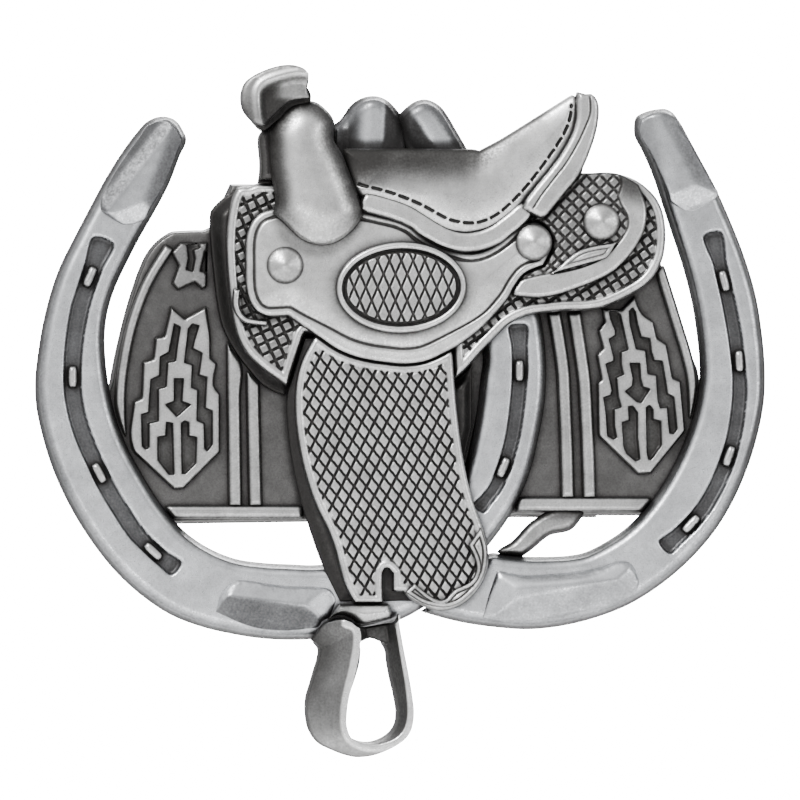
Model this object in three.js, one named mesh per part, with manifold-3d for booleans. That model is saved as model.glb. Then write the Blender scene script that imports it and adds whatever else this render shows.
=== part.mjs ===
// A western belt buckle in antique silver: two overlapping horseshoes, a patterned saddle blanket
// and a stock saddle, built up in layers on one plate, with a hinged bail and a hook stud behind.
// Millimetres. The buckle stands as it is worn: +X to the viewer's right, +Z up, and its front
// faces -Y. The back of the blanket plate is the plane y = 0, so a layer's lift is its -y.
import * as THREE from "three";
import { mergeVertices } from "three/addons/utils/BufferGeometryUtils.js";
import Module from "manifold-3d";

const wasm = await Module();
wasm.setup();

// Lifts of the layers' faces above the back plane.
const LIFT = {
  stirrupBack: 1.4,
  plate: 2.0,
  trim: 2.9,
  shoe: 4.4,
  lining: 5.0,
  skirt: 5.6,
  calk: 5.6,
  fender: 6.2,
  rearJockey: 6.6,
  jockey: 6.8,
  cornerPlate: 6.9,
  leaf: 7.2,
  ovalPanel: 7.3,
  stirrup: 7.4,
  welt: 7.5,
  ovalRim: 7.7,
  seat: 7.8,
  cantle: 8.2,
  hornNeck: 8.6,
  fork: 9.4,
  horn: 10.4,
};
const GAP = 0.3; // room left round a piece by its neighbour in the same layer
const GROOVE_DEPTH = 0.9; // the nail groove of a horseshoe
const NAIL = { width: 1.6, length: 3.1, lift: 4.5 };
const STRIPE_WIDTH = 1.5; // woven stripes of the blanket
const CONCHO = { radius: 2.35, height: 1.2 };
const OVAL = { x: -0.45, z: 16, outer: [8.4, 5.9], inner: [7.45, 4.85], tilt: 0.035 };

// The bail: a flat bar bent to a U, hinged on two lugs about an upright axis.
const BAIL = {
  axisX: 24,
  axisY: 3.2, // behind the back plane
  reach: 18, // from the axis to the middle of the bar
  barWidth: 3.6,
  thickness: 2.4,
  armWidth: 2.2,
  insideLow: -11, // the arms' inner faces, 39.5 mm apart for a 38 mm belt
  insideHigh: 28.5,
  pinRadius: 1.2,
  pinLength: 2.8,
};
const LUG = { width: 5.2, height: 2.5, clearance: 0.5, boreRadius: 1.45, depth: 5.2 };
const HOOK = { x: -28, z: 8.75, bossRadius: 4, bossHeight: 1, postRadius: 1.5, headRadius: 3.2 };
const HOOK_PROFILE = { neck: 4.2, brim: 5.2, top: 6.6 };

const silver = { color: 0xc9c8c4, roughness: 0.34, metalness: 1 };
const FINISH = {
  polished: new THREE.MeshStandardMaterial(silver),
  antiqued: new THREE.MeshStandardMaterial({ ...silver, color: 0x6f6b66, roughness: 0.55 }),
  satin: new THREE.MeshStandardMaterial({ ...silver, color: 0xa9abae, roughness: 0.42 }),
};

const part = new THREE.Group();

/** A closed outline. Each stretch runs on from the last one: several points are one smooth
 *  curve through them, and a single point is a straight line to it. */
function outline(start, ...stretches) {
  const shape = new THREE.Shape().moveTo(...start);
  for (const stretch of stretches) {
    if (stretch.length === 1) shape.lineTo(...stretch[0]);
    else shape.splineThru(stretch.map(([x, z]) => new THREE.Vector2(x, z)));
  }
  return shape;
}

/** A closed outline with straight sides. */
const polygon = (...points) => new THREE.Shape(points.map(([x, z]) => new THREE.Vector2(x, z)));

/** A strip along a smooth centreline, whose width runs evenly from its start to its end. */
function strip(centreline, startWidth, endWidth = startWidth) {
  const curve = new THREE.SplineCurve(centreline.map(([x, z]) => new THREE.Vector2(x, z)));
  const steps = 2 * (centreline.length - 1);
  const sides = [[], []];
  for (let i = 0; i <= steps; i++) {
    const middle = curve.getPoint(i / steps);
    const along = curve.getTangent(i / steps);
    const across = new THREE.Vector2(-along.y, along.x);
    const half = THREE.MathUtils.lerp(startWidth, endWidth, i / steps) / 2;
    sides[0].push(middle.clone().addScaledVector(across, half));
    sides[1].unshift(middle.clone().addScaledVector(across, -half));
  }
  return new THREE.Shape([...sides[0], ...sides[1]]);
}

/** An outline extruded between two lifts, widened all round by grow. */
function slab(shape, low, high, grow = 0, curveSegments = 2) {
  const flat = { curveSegments, depth: high - low, bevelEnabled: false };
  const skin = 0.05; // a widened slab's end layers, kept inside its two lifts
  const wide = {
    ...flat,
    depth: high - low - 2 * skin,
    bevelEnabled: true,
    bevelThickness: skin,
    bevelSize: 0,
    bevelOffset: grow,
    bevelSegments: 1,
  };
  const geometry = new THREE.ExtrudeGeometry(shape, grow ? wide : flat);
  return geometry.translate(0, 0, low + (grow ? skin : 0)).rotateX(Math.PI / 2);
}

/** A closed geometry as a manifold solid. */
function solid(geometry) {
  const bare = geometry.clone();
  bare.deleteAttribute("normal");
  bare.deleteAttribute("uv");
  const merged = mergeVertices(bare, 1e-4);
  return new wasm.Manifold(
    new wasm.Mesh({
      numProp: 3,
      vertProperties: merged.attributes.position.array,
      triVerts: new Uint32Array(merged.index.array),
    }),
  );
}

/** A manifold solid as a geometry. */
function geometryOf(made) {
  const mesh = made.getMesh();
  return new THREE.BufferGeometry()
    .setAttribute("position", new THREE.BufferAttribute(mesh.vertProperties, 3))
    .setIndex(new THREE.BufferAttribute(mesh.triVerts, 1));
}

function add(name, geometry, material) {
  const mesh = new THREE.Mesh(geometry, material);
  mesh.name = name;
  part.add(mesh);
  return mesh;
}

/** The room that a neighbour needs: its outline widened by the gap, between two lifts. */
const roomFor = (shape, low = 0, high = 12) => solid(slab(shape, low, high, GAP));

/** A plate of one outline between two lifts, trimmed clear of its neighbours. Where the trimming
 *  parts it, the largest piece stays. */
function plate(name, shape, low, high, material, neighbours = []) {
  if (!neighbours.length) return add(name, slab(shape, low, high), material);
  let made = solid(slab(shape, low, high));
  for (const other of neighbours) made = made.subtract(other);
  const [largest] = made.decompose().sort((a, b) => b.volume() - a.volume());
  return add(name, geometryOf(largest), material);
}

// ---- the horseshoes -------------------------------------------------------------------------

const leftShoe = outline(
  [-27.7, 35.4],
  [[-28.7, 37.2], [-30.3, 38], [-32.9, 37.2], [-36.8, 32.1], [-40.7, 25], [-44.8, 16.3], [-46.9, 5.7],
    [-46.5, -1.2], [-43.4, -10.3], [-37.4, -19.5], [-30, -25.6], [-22, -28.2], [-14.25, -29],
    [-6.5, -28.2], [1.5, -25.6], [8.9, -19.5], [15.2, -10.8], [18, -1.2], [18.6, 6.6],
    [17.4, 14.5], [13.6, 24], [8.9, 33.4], [6.3, 37.8], [2.7, 40.55], [-0.3, 38.6]],
  [[1.4, 30], [6.6, 19.5], [10.2, 9], [10, 3.5], [9.2, -2], [7.4, -8.5], [3.6, -14], [-2, -17.5],
    [-9, -19.2], [-14.25, -19.3], [-22, -18.4], [-28.6, -14.4], [-34.2, -6.2], [-37, 0.7],
    [-38.1, 8.9], [-37.2, 14.9], [-34, 21.8], [-30.1, 28.9], [-27.7, 35.4]],
);
const rightShoe = outline(
  [30, 36],
  [[30.3, 38.3], [33.3, 39.3], [35.2, 38.6], [37.7, 34.4], [41.6, 26.9], [45.5, 16.3], [46.9, 5.7],
    [46.2, -1.6], [43.6, -9.4], [39.7, -15.9], [33.8, -21.6], [26.9, -25.5], [17.6, -27.6],
    [8, -26.8], [0.9, -24.85]],
  [[11.5, -17.85]],
  [[16, -18.3], [22, -18.1], [25.4, -16.9], [29.6, -14], [33.6, -9], [36.6, -3], [38.2, 3],
    [38.3, 8], [37, 16.3], [33.8, 26.4], [32.2, 31.2], [30, 36]],
);
const farHeel = outline(
  [-9.4, 27],
  [[-8.9, 36.7]],
  [[-7.4, 38], [-5, 40.6], [-3.7, 40.8], [-2.2, 40.2], [-0.6, 38.6]],
  [[2.5, 27]],
);
const nailGrooves = {
  leftOuter: strip([[-38.3, 22.2], [-41.2, 13.9], [-42.3, 6], [-41.7, -0.5], [-38.4, -8.6],
    [-33.6, -16], [-29, -20]], 2.6, 2.2),
  leftInner: strip([[14.8, 11.4], [15.05, 4.8], [14, -3.5], [12.2, -8.9], [9.6, -12.3]], 2.3, 1.8),
  right: strip([[39.8, 23.4], [42.1, 13.8], [43.4, 4], [42.4, -4], [40, -10], [37.2, -14],
    [33.6, -17.2]], 1.9, 2.3),
};

/** The cut that a nail groove makes in the front of a shoe. */
const grooveCut = (groove) => solid(slab(groove, LIFT.shoe - GROOVE_DEPTH, LIFT.shoe + 1));

// Each nail's place along its groove, and the angle that it is turned to lie along the arm.
const leftNails = [[-40.1, 17.4, 0.4], [-42.3, 4.6, 0], [-38.9, -7.7, -0.5], [-32, -17.7, -0.82],
  [15, 5.5, 0], [12.9, -6.9, 0.4]];
const rightNails = [[41.4, 17.1, -0.25], [43.35, 6.8, -0.05], [42, -5.4, 0.35], [37.1, -14.1, 0.75]];

/** A block that stands in a groove at a nail's place, wider than the nail by grow all round. */
function nailBlock([x, z, angle], grow = 0) {
  const depth = NAIL.lift - LIFT.shoe + GROOVE_DEPTH;
  return new THREE.BoxGeometry(NAIL.width + 2 * grow, depth, NAIL.length + 2 * grow)
    .rotateY(angle)
    .translate(x, -(NAIL.lift - depth / 2), z);
}
const nailHoles = (nails) => nails.map((place) => solid(nailBlock(place, GAP)));

const roomForLeftShoe = roomFor(leftShoe);
plate("left_horseshoe", leftShoe, LIFT.plate, LIFT.shoe, FINISH.satin, [
  grooveCut(nailGrooves.leftOuter),
  grooveCut(nailGrooves.leftInner),
  ...nailHoles(leftNails),
]);
plate("right_horseshoe", rightShoe, LIFT.plate, LIFT.shoe, FINISH.satin, [
  roomForLeftShoe,
  grooveCut(nailGrooves.right),
  ...nailHoles(rightNails),
]);
plate("right_horseshoe_far_heel", farHeel, LIFT.plate, LIFT.shoe, FINISH.satin, [roomForLeftShoe]);
leftNails.forEach((place, i) => add(`left_shoe_nail_${i + 1}`, nailBlock(place), FINISH.polished));
rightNails.forEach((place, i) => add(`right_shoe_nail_${i + 1}`, nailBlock(place), FINISH.polished));

const shoes = [roomForLeftShoe, roomFor(rightShoe), roomFor(farHeel)];

// ---- the blanket plate and its woven trim ---------------------------------------------------

const blanket = outline(
  [-24.5, 24],
  [[-25.4, 23.6]],
  [[-28, 23.5], [-30.1, 23.1], [-32.75, 20.5], [-34.9, 15], [-36.6, 8.4], [-37.5, 3.8]],
  [[-40, -0.5]],
  [[-38.2, -8]],
  [[-33.5, -14.2]],
  [[12, -13.5]],
  [[15.3, -13]],
  [[33.4, -13]],
  [[40, -3.5]],
  [[38.4, 5.8]],
  [[37.2, 8.8], [34.7, 15.3], [33.8, 19]],
  [[32.6, 22]],
  [[29.5, 29.5]],
  [[-22, 29.5]],
  [[-24.5, 24]],
);
plate("blanket", blanket, 0, LIFT.plate, FINISH.antiqued);

const treeOutline = outline(
  [-18.6, 29.4],
  [[-21.1, 28.75], [-23.75, 26.9], [-24.7, 24.7], [-24.1, 16.8], [-22.7, 10.1], [-18.3, 4], [-15.1, 2.3]],
  [[-13.2, 4]],
  [[-13.2, 10.5]],
  [[5.9, 10.5]],
  [[6.5, 4.4]],
  [[8.2, 6], [10.7, 8.9], [14.7, 12.4], [20.2, 13.4], [24.9, 13.7], [29.4, 15.6], [32, 17.6],
    [33.5, 21], [33.3, 25.2], [32, 28.1], [28.5, 30.3], [22.8, 30.7]],
  [[23.8, 34.5], [24.4, 38.8], [23.4, 40.3]],
  [[21.6, 40.2]],
  [[17.5, 37.5], [12.7, 34.5], [9.3, 33]],
  [[-6.9, 33]],
  [[-9.3, 36.5]],
  [[-11, 39], [-14.2, 39.1], [-16.7, 37.1], [-18, 35.6], [-18.2, 32], [-18.6, 29.4]],
);
const roomForTree = roomFor(treeOutline, 0, LIFT.lining);
const beneathTrim = [...shoes, roomForTree];

/** A raised pattern piece on the blanket's front. */
const trim = (name, shape) =>
  plate(name, shape, LIFT.plate, LIFT.trim, FINISH.polished, beneathTrim);

trim("left_rail", strip([[-29.9, 21.2], [-32.6, 16.8], [-34.8, 10.8], [-36.05, 3.5], [-36, -3]], 1.1));
trim("right_rail", strip([[33.2, 18.8], [35.6, 11.2], [37.3, 5], [37.7, -2]], 1.1));
trim("left_hem", polygon([-31, -13.2], [-13, -13.2], [-13, -12.1], [-31, -12.1]));
trim("right_hem", polygon([15, -12.3], [33, -12.3], [33, -11], [15, -11]));
trim("left_stripe_outer", strip([[-21.7, 14], [-21.6, 2], [-21.4, -11.8]], STRIPE_WIDTH));
trim("left_stripe_inner", strip([[-19.25, 14], [-19.1, 2], [-18.8, -11.8]], STRIPE_WIDTH));
trim("right_stripe_inner", strip([[19.6, 13], [20.85, 4.3], [21.35, -10.7]], STRIPE_WIDTH));
trim("right_stripe_outer", strip([[22.2, 13], [23.6, 3], [24.15, -10.7]], STRIPE_WIDTH));
trim("left_medallion", polygon(
  [-29.7, 13.75], [-27.9, 12.2], [-25.1, 13.75], [-24.5, 9.4], [-24.5, 7.1], [-23.7, 6.4],
  [-23.95, 3.3], [-23.3, 2.3], [-23.3, -5], [-28, -9.7], [-29.3, -9.8], [-34.5, -5], [-34.8, -4.1],
  [-34.5, 1.5], [-33.5, 2], [-33.3, 6.6], [-32, 7], [-31.7, 9.7], [-30.6, 9.9],
));
trim("right_medallion", polygon(
  [25.7, 13.6], [28.2, 13.5], [30, 15.3], [31.1, 12.9], [32.5, 11.9], [33, 9.8], [34.2, 9],
  [35, 4.7], [36, 4.3], [36.6, -2.2], [32.1, -7.7], [30.4, -7.8], [25.6, -3.2], [25.2, -2.4],
  [25.1, 4], [25.6, 4.5], [25, 7.6], [25.8, 8.5], [25.2, 10.7], [26, 11.9],
));
trim("left_top_motif", polygon(
  [-28.5, 21.9], [-29.7, 20.6], [-28.8, 18.9], [-29.6, 16.6], [-28.8, 15.7], [-26.6, 16.7],
  [-25.7, 15.8], [-25, 16.2], [-24.9, 21.9],
));
trim("cinch_strap", polygon(
  [15, -18.3], [12, -18], [14, -16.9], [17, -14], [19.3, -12.7], [23.2, -12.7], [21.75, -14.5],
  [18.9, -15.3], [16.6, -17.1],
));

// ---- the saddle's tree, leathers and skirts -------------------------------------------------

const fenderLining = outline(
  [-12.6, 9.6],
  [[-13.9, 5.5], [-14.9, 1.8], [-14.7, -3], [-13.9, -8], [-12.6, -13], [-10.6, -18.9], [-8.1, -24.1]],
  [[1.5, -24]],
  [[4.8, -25], [8.3, -23.5], [10.4, -20.2], [10.5, -16.8], [9.8, -14.4]],
  [[8, -8.9], [6.8, -1.4], [6.2, 5.3], [6, 9.6]],
  [[-12.6, 9.6]],
);
const stirrupLeather = outline(
  [-12.9, 10],
  [[-13.9, 5.5], [-14.6, 1.8], [-14.4, -3], [-13.6, -8], [-12.3, -13], [-11, -16.5]],
  [[3, -16.5]],
  [[9, -5]],
  [[9, 10]],
);
const roomForLining = roomFor(fenderLining, LIFT.shoe, LIFT.fender);

// The left shoe's inner arm passes through the tree and parts it into a front and a rear pad.
{
  let tree = solid(slab(treeOutline, LIFT.plate, LIFT.shoe));
  for (const room of shoes) tree = tree.subtract(room);
  const pads = tree.decompose().sort((a, b) => b.volume() - a.volume()).slice(0, 2);
  const middle = (pad) => pad.boundingBox().min[0];
  const [front, rear] = pads.sort((a, b) => middle(a) - middle(b));
  add("front_tree_pad", geometryOf(front), FINISH.antiqued);
  add("rear_tree_pad", geometryOf(rear), FINISH.antiqued);
}
plate("stirrup_leather", stirrupLeather, LIFT.plate, LIFT.shoe, FINISH.antiqued, [
  roomForLeftShoe,
  roomForTree,
]);

const frontSkirt = outline(
  [-20, 29],
  [[-21.6, 28.5], [-22.6, 24.5], [-22.7, 19], [-21.6, 10.7], [-19.4, 6.8], [-15, 3.4]],
  [[-14, 5], [-12.9, 7.9], [-12.6, 10.2]],
  [[3, 10.2]],
  [[3, 32.6]],
  [[-6.7, 32.6]],
  [[-6.7, 29.4]],
  [[-18.6, 29.4]],
  [[-20, 29]],
);
const rearSkirt = outline(
  [3.3, 10.2],
  [[6.2, 10]],
  [[6.4, 4.2]],
  [[8.2, 5.8], [10.7, 8.6], [14.7, 12.1], [20.2, 13.1], [24.9, 13.4], [29.4, 15.3], [32, 17.3],
    [33.6, 20.6], [33.6, 25.2], [32, 28.4], [28.5, 30.6], [23, 30.9]],
  [[23.9, 34.3], [24.5, 38.8], [23.4, 40.4]],
  [[21.7, 40.3]],
  [[17.5, 37.6], [12.7, 34.6], [9.7, 32.9]],
  [[3.3, 32.6]],
);
plate("front_skirt", frontSkirt, LIFT.shoe, LIFT.skirt, FINISH.polished, [roomForLining]);
plate("rear_skirt", rearSkirt, LIFT.shoe, LIFT.skirt, FINISH.polished, [roomForLining]);

// ---- seat, jockeys, fork and horn -----------------------------------------------------------

const fork = outline(
  [-17.3, 36],
  [[-17.3, 33.5], [-17, 30.5], [-16.5, 27.5], [-16.7, 25.5]],
  [[-15.2, 24.1], [-13, 22.1], [-10.2, 21.5], [-7.7, 22.5], [-5.6, 25], [-5.8, 27], [-6.7, 29.5],
    [-8.1, 33], [-9.2, 34.9], [-9.1, 37.1], [-10.2, 38.7], [-11.8, 39.7], [-14.2, 39.4],
    [-15.6, 38.4], [-17.3, 36]],
);
const pommelPlate = outline(
  [-18.5, 29.7],
  [[-18.4, 32], [-18.6, 35], [-17.9, 36.2], [-16.2, 37.7], [-14, 39.1], [-11.2, 39.3], [-9.7, 38]],
  [[-9.4, 35.2]],
  [[-8.2, 32.4], [-7.4, 29.7]],
  [[-18.5, 29.7]],
);
const seatJockey = outline(
  [-16, 26.3],
  [[-18.7, 25.3], [-20.1, 22.9], [-20.3, 19], [-20, 14.8], [-18.2, 12.5], [-14.85, 12.4]],
  [[-11.8, 10.3], [-7.8, 7.7], [-3, 6.5], [2.4, 6.5], [8.3, 9.6], [12.7, 13.9], [15.2, 17.6],
    [17.9, 18.9]],
  [[19.1, 21.9], [17.5, 24.3], [15.3, 24.4]],
  [[13.6, 23.2], [11.8, 21.8], [9.9, 20.8], [7.9, 20.6], [4.8, 21.4], [2.5, 22.7], [0, 24.5],
    [-5.2, 25.8]],
  [[-7.4, 29.3]],
  [[-16, 29.3]],
  [[-16, 26.3]],
);
const seatWeltLine = [[-5, 26.9], [-3.3, 26.5], [0.2, 25.4], [2.6, 23.8], [4.9, 22.5], [6.9, 21.9],
  [8.7, 21.9], [10.4, 22.3], [12.2, 23.2], [14.1, 24.8], [15.3, 26]];
const seatOutline = outline(
  [-7.5, 33.5],
  [[-6.9, 31.2], [-6.2, 28.9], [-5.5, 27.9]],
  [[-3.3, 27.4], [0.2, 26.3], [2.6, 24.9], [4.9, 23.6], [7, 23.1], [9, 23.2], [11.5, 24],
    [14.1, 25.9], [17, 28.9], [20, 32.5], [22.1, 36.5], [22.5, 40]],
  [[21.6, 40.5]],
  [[17.5, 37.9], [12.7, 34.9], [9.7, 33.3]],
  [[8.7, 33.5]],
  [[-7.5, 33.5]],
);
const cantleBinding = outline(
  [22.9, 40.5],
  [[24, 40.6], [24.7, 39], [24.2, 35.5], [22.4, 31], [20, 27.9], [18, 25.4]],
  [[15.9, 26.4]],
  [[17.6, 28.6], [20.5, 32.3], [22.6, 36.4], [22.9, 40.5]],
);
const rearJockey = outline(
  [14.1, 15.2],
  [[17.5, 15], [21, 15.8], [26.7, 18.3], [30.2, 22.4], [31, 26], [30, 29.3]],
  [[28, 30.4]],
  [[22.3, 30.6]],
  [[16, 24]],
  [[14.1, 15.2]],
);
const roomForFork = roomFor(fork);
const roomForJockey = roomFor(seatJockey, LIFT.skirt - GAP);
const roomForCantle = roomFor(cantleBinding);

plate("pommel_plate", pommelPlate, LIFT.shoe, LIFT.jockey, FINISH.antiqued, [
  roomFor(frontSkirt, 0, LIFT.skirt),
]);
plate("seat_jockey", seatJockey, LIFT.skirt, LIFT.jockey, FINISH.polished, [roomFor(pommelPlate)]);
plate("rear_jockey", rearJockey, LIFT.skirt, LIFT.rearJockey, FINISH.polished, [
  roomForJockey,
  roomForCantle,
]);
plate("rear_jockey_leaf", polygon([18.7, 17.8], [22.3, 20.8], [27.4, 22], [25.5, 19.7]),
  LIFT.rearJockey, LIFT.leaf, FINISH.polished);
plate("seat", seatOutline, LIFT.skirt, LIFT.seat, FINISH.polished, [roomForFork, roomForCantle]);
plate("seat_welt", strip(seatWeltLine, 1.25), LIFT.skirt, LIFT.welt, FINISH.polished, [
  roomForFork,
  roomForJockey,
  roomFor(seatOutline),
  roomForCantle,
]);
plate("cantle_binding", cantleBinding, LIFT.skirt, LIFT.cantle, FINISH.polished);
plate("fork", fork, LIFT.jockey, LIFT.fork, FINISH.polished);

const hornNeck = outline(
  [-18, 36.4],
  [[-19.4, 38.2], [-19.2, 40.4], [-17.4, 41.8], [-14.6, 41.9], [-12.8, 41]],
  [[-12.4, 39.9]],
  [[-18, 36.4]],
);
const hornCap = outline(
  [-18.1, 36.4],
  [[-19.7, 37], [-21.1, 39], [-20.7, 41.9], [-17.9, 43.7], [-14.7, 44.35], [-12.5, 43.4],
    [-12.6, 41.3]],
  [[-12.3, 40]],
  [[-14.8, 39.6], [-16.8, 37.9], [-18.1, 36.4]],
);
plate("horn_neck", hornNeck, LIFT.shoe, LIFT.hornNeck, FINISH.antiqued, [
  roomForFork,
  roomFor(pommelPlate),
]);
plate("horn_cap", hornCap, LIFT.hornNeck, LIFT.horn, FINISH.polished, [roomForFork]);

// ---- conchos --------------------------------------------------------------------------------

/** A domed round concho, standing on the leather at a lift. */
function concho(name, x, z, lift) {
  const { radius, height } = CONCHO;
  const profile = [[0, 0], [radius, 0], [radius, 0.25 * height], [0.85 * radius, 0.6 * height],
    [0.5 * radius, 0.9 * height], [0, height]];
  const turned = new THREE.LatheGeometry(profile.map(([r, h]) => new THREE.Vector2(r, h)), 20);
  add(name, turned.rotateX(Math.PI), FINISH.polished).position.set(x, -lift, z);
}

/** An ellipse about the oval concho's centre, shrunk by inset all round. */
function oval([halfLength, halfHeight], inset = 0) {
  const { x, z, tilt } = OVAL;
  const [a, b] = [halfLength - inset, halfHeight - inset];
  return new THREE.Shape().absellipse(x, z, a, b, 0, 2 * Math.PI, false, tilt);
}
const ovalRim = oval(OVAL.outer);
ovalRim.holes.push(oval(OVAL.inner));
const ovalSteps = 18;
add("oval_concho_rim", slab(ovalRim, LIFT.jockey, LIFT.ovalRim, 0, ovalSteps), FINISH.polished);
add("oval_concho_panel", slab(oval(OVAL.inner, GAP), LIFT.jockey, LIFT.ovalPanel, 0, ovalSteps),
  FINISH.polished);
concho("front_concho", -15.3, 18.8, LIFT.jockey);
concho("middle_concho", 16.6, 21.85, LIFT.jockey);
concho("rear_concho", 25.3, 24.5, LIFT.rearJockey);

plate("rigging_dee", strip([[-21.4, 15.8], [-21.5, 13.6], [-20.4, 11.9], [-17.5, 11.4]], 1, 0.7),
  LIFT.skirt, LIFT.rearJockey, FINISH.polished, [roomForJockey]);

// ---- fender, stirrup and calks --------------------------------------------------------------

plate("fender_lining", fenderLining, LIFT.shoe, LIFT.lining, FINISH.antiqued);
const fender = outline(
  [-11.2, 9.7],
  [[-13, 6.1], [-13.7, 1.8], [-13.2, -4.1], [-11.6, -10.2], [-9, -16], [-7.6, -21], [-6.2, -24.1]],
  [[-2.9, -24.1]],
  [[-2.9, -20.4], [-2.1, -19.6], [-1.2, -20.4]],
  [[-1.2, -22.6]],
  [[0, -22.6]],
  [[1.3, -23.8], [4.8, -25], [8.3, -23.5], [10.4, -20.2], [10.5, -16.8], [9.8, -14.4]],
  [[8, -8.9], [6.8, -1.4], [6.2, 5.3], [6, 9.7]],
);
const cornerPlate = outline(
  [9.85, -14.6],
  [[10.65, -18], [9.75, -21.7], [6.5, -24.6], [2.9, -24.5], [0.1, -22.9]],
  [[1.3, -21.75]],
  [[3.4, -23.4], [5, -23.9], [6.4, -22.6], [8.4, -21.6], [9.2, -20.1], [9, -18.6], [8.2, -16.9]],
);
plate("fender", fender, LIFT.lining, LIFT.fender, FINISH.polished, [
  roomFor(seatJockey, LIFT.lining - 1, LIFT.seat),
  roomFor(frontSkirt, 0, LIFT.skirt),
  roomFor(rearSkirt, 0, LIFT.skirt),
]);
plate("fender_corner_plate", cornerPlate, LIFT.fender, LIFT.cornerPlate, FINISH.polished);

const hobbleStrap = outline(
  [-9.7, -26.3],
  [[-8.4, -24.4]],
  [[-1.9, -24.4]],
  [[-1.4, -25.6], [-1.5, -26.3]],
  [[-3.7, -26.8], [-5.6, -27], [-6.7, -26.2], [-8.2, -25.8], [-9.7, -26.3]],
);
const stirrup = outline(
  [-10, -26.7],
  [[-11.9, -29]],
  [[-10.8, -30.3], [-11.5, -33.3], [-12.5, -37.4], [-11.4, -41.6], [-7.4, -43.7], [-4.7, -44],
    [-1.9, -43.2], [0.6, -41.4], [1.4, -38.7], [1, -34.9], [-0.25, -28.3], [-0.7, -25.6]],
  [[-1.2, -26.7]],
  [[-3.7, -27.1], [-5.6, -27.3], [-6.7, -26.6], [-8.2, -26.2], [-10, -26.7]],
);
const stirrupOpening = outline(
  [-5.4, -29.3],
  [[-4.2, -28.8], [-2.4, -29.8], [-1.9, -32.6], [-0.8, -38.1], [-1.6, -40.7], [-4.3, -42],
    [-6.9, -41], [-7, -36.9], [-5.6, -32.3], [-5.4, -29.3]],
);
stirrup.holes.push(stirrupOpening);
plate("hobble_strap", hobbleStrap, LIFT.shoe, LIFT.jockey, FINISH.polished);
plate("stirrup", stirrup, LIFT.stirrupBack, LIFT.stirrup, FINISH.polished, [
  roomFor(leftShoe, 0, LIFT.shoe),
  roomFor(rightShoe, 0, LIFT.shoe),
  roomFor(hobbleStrap),
]);

const roomForStrap = roomFor(hobbleStrap);
const solidStirrup = stirrup.clone();
solidStirrup.holes = [];
plate("left_toe_calk", outline(
  [-24, -25.4],
  [[-23.1, -22.8]],
  [[-21.8, -21.6], [-20.2, -21.4], [-15.4, -22.1], [-9.8, -22.4], [-8.6, -23.9]],
  [[-9, -25.1]],
  [[-10.4, -27.3]],
  [[-15, -27.8], [-19.5, -27.3], [-24, -25.4]],
), LIFT.shoe, LIFT.calk, FINISH.satin, [roomForLining, roomForStrap, roomFor(solidStirrup)]);
plate("right_toe_calk", outline(
  [10.9, -23.6],
  [[12.1, -20.1]],
  [[16, -20.7], [23.4, -20.1], [27.7, -18.9]],
  [[29.4, -19.3], [30.3, -21.9], [29.2, -23.4]],
  [[25.9, -24.7], [19.3, -26.3], [12.6, -26.5], [10.3, -26.1]],
  [[10.9, -23.6]],
), LIFT.shoe, LIFT.calk, FINISH.satin, [roomForLining, roomFor(fender)]);
plate("left_heel_calk", outline(
  [-38.7, 27.3],
  [[-38.6, 25.7]],
  [[-35.7, 24], [-33.2, 24.7]],
  [[-30.5, 29.2], [-28.3, 35]],
  [[-29.2, 36.8], [-30.6, 37.5], [-32.7, 36.8]],
  [[-36.5, 31.5], [-38.7, 27.3]],
), LIFT.shoe, LIFT.calk, FINISH.satin);
plate("right_heel_calk", outline(
  [34.4, 27.2],
  [[37, 26], [40, 27.5]],
  [[40.6, 28.2]],
  [[37.5, 33.9], [35, 38.1]],
  [[33.3, 38.8], [31, 38], [30.5, 36.2]],
  [[32.7, 31.4], [34.4, 27.2]],
), LIFT.shoe, LIFT.calk, FINISH.satin);

// ---- the fastening behind -------------------------------------------------------------------

/** A box between two corners. */
function block(from, to) {
  const size = to.map((value, i) => value - from[i]);
  const centre = to.map((value, i) => (value + from[i]) / 2);
  return new THREE.BoxGeometry(...size).translate(...centre);
}

/** An upright round bar on the hinge axis, between two heights. */
const pinOnAxis = (radius, low, high) =>
  new THREE.CylinderGeometry(radius, radius, high - low, 24)
    .rotateX(Math.PI / 2)
    .translate(BAIL.axisX, BAIL.axisY, (low + high) / 2);

/** A cast lug on the plate's back, bored for the bail's pin. */
function lug(name, low) {
  const high = low + LUG.height;
  const half = LUG.width / 2;
  const body = block([BAIL.axisX - half, 0, low], [BAIL.axisX + half, LUG.depth, high]);
  const bore = solid(pinOnAxis(LUG.boreRadius, low - 1, high + 1));
  add(name, geometryOf(solid(body).subtract(bore)), FINISH.satin);
}
lug("lower_lug", BAIL.insideLow + LUG.clearance);
lug("upper_lug", BAIL.insideHigh - LUG.clearance - LUG.height);

/** The bail, folded in behind the plate: two arms from the hinge to the bar that holds the belt. */
function bailGeometry() {
  const { axisX, axisY, reach, barWidth, thickness, armWidth, insideLow, insideHigh } = BAIL;
  const [front, back] = [axisY - thickness / 2, axisY + thickness / 2];
  const outerLow = insideLow - armWidth;
  const outerHigh = insideHigh + armWidth;
  const inner = axisX - reach - barWidth / 2;
  const arm = (low) => solid(block([inner, front, low], [axisX + 1.5, back, low + armWidth]));
  const bar = solid(block([inner, front, outerLow], [inner + barWidth, back, outerHigh]));
  const lowPin = solid(pinOnAxis(BAIL.pinRadius, insideLow - 0.5, insideLow + BAIL.pinLength));
  const highPin = solid(pinOnAxis(BAIL.pinRadius, insideHigh - BAIL.pinLength, insideHigh + 0.5));
  return geometryOf(bar.add(arm(outerLow)).add(arm(insideHigh)).add(lowPin).add(highPin));
}
add("bail", bailGeometry(), FINISH.satin);

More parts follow.
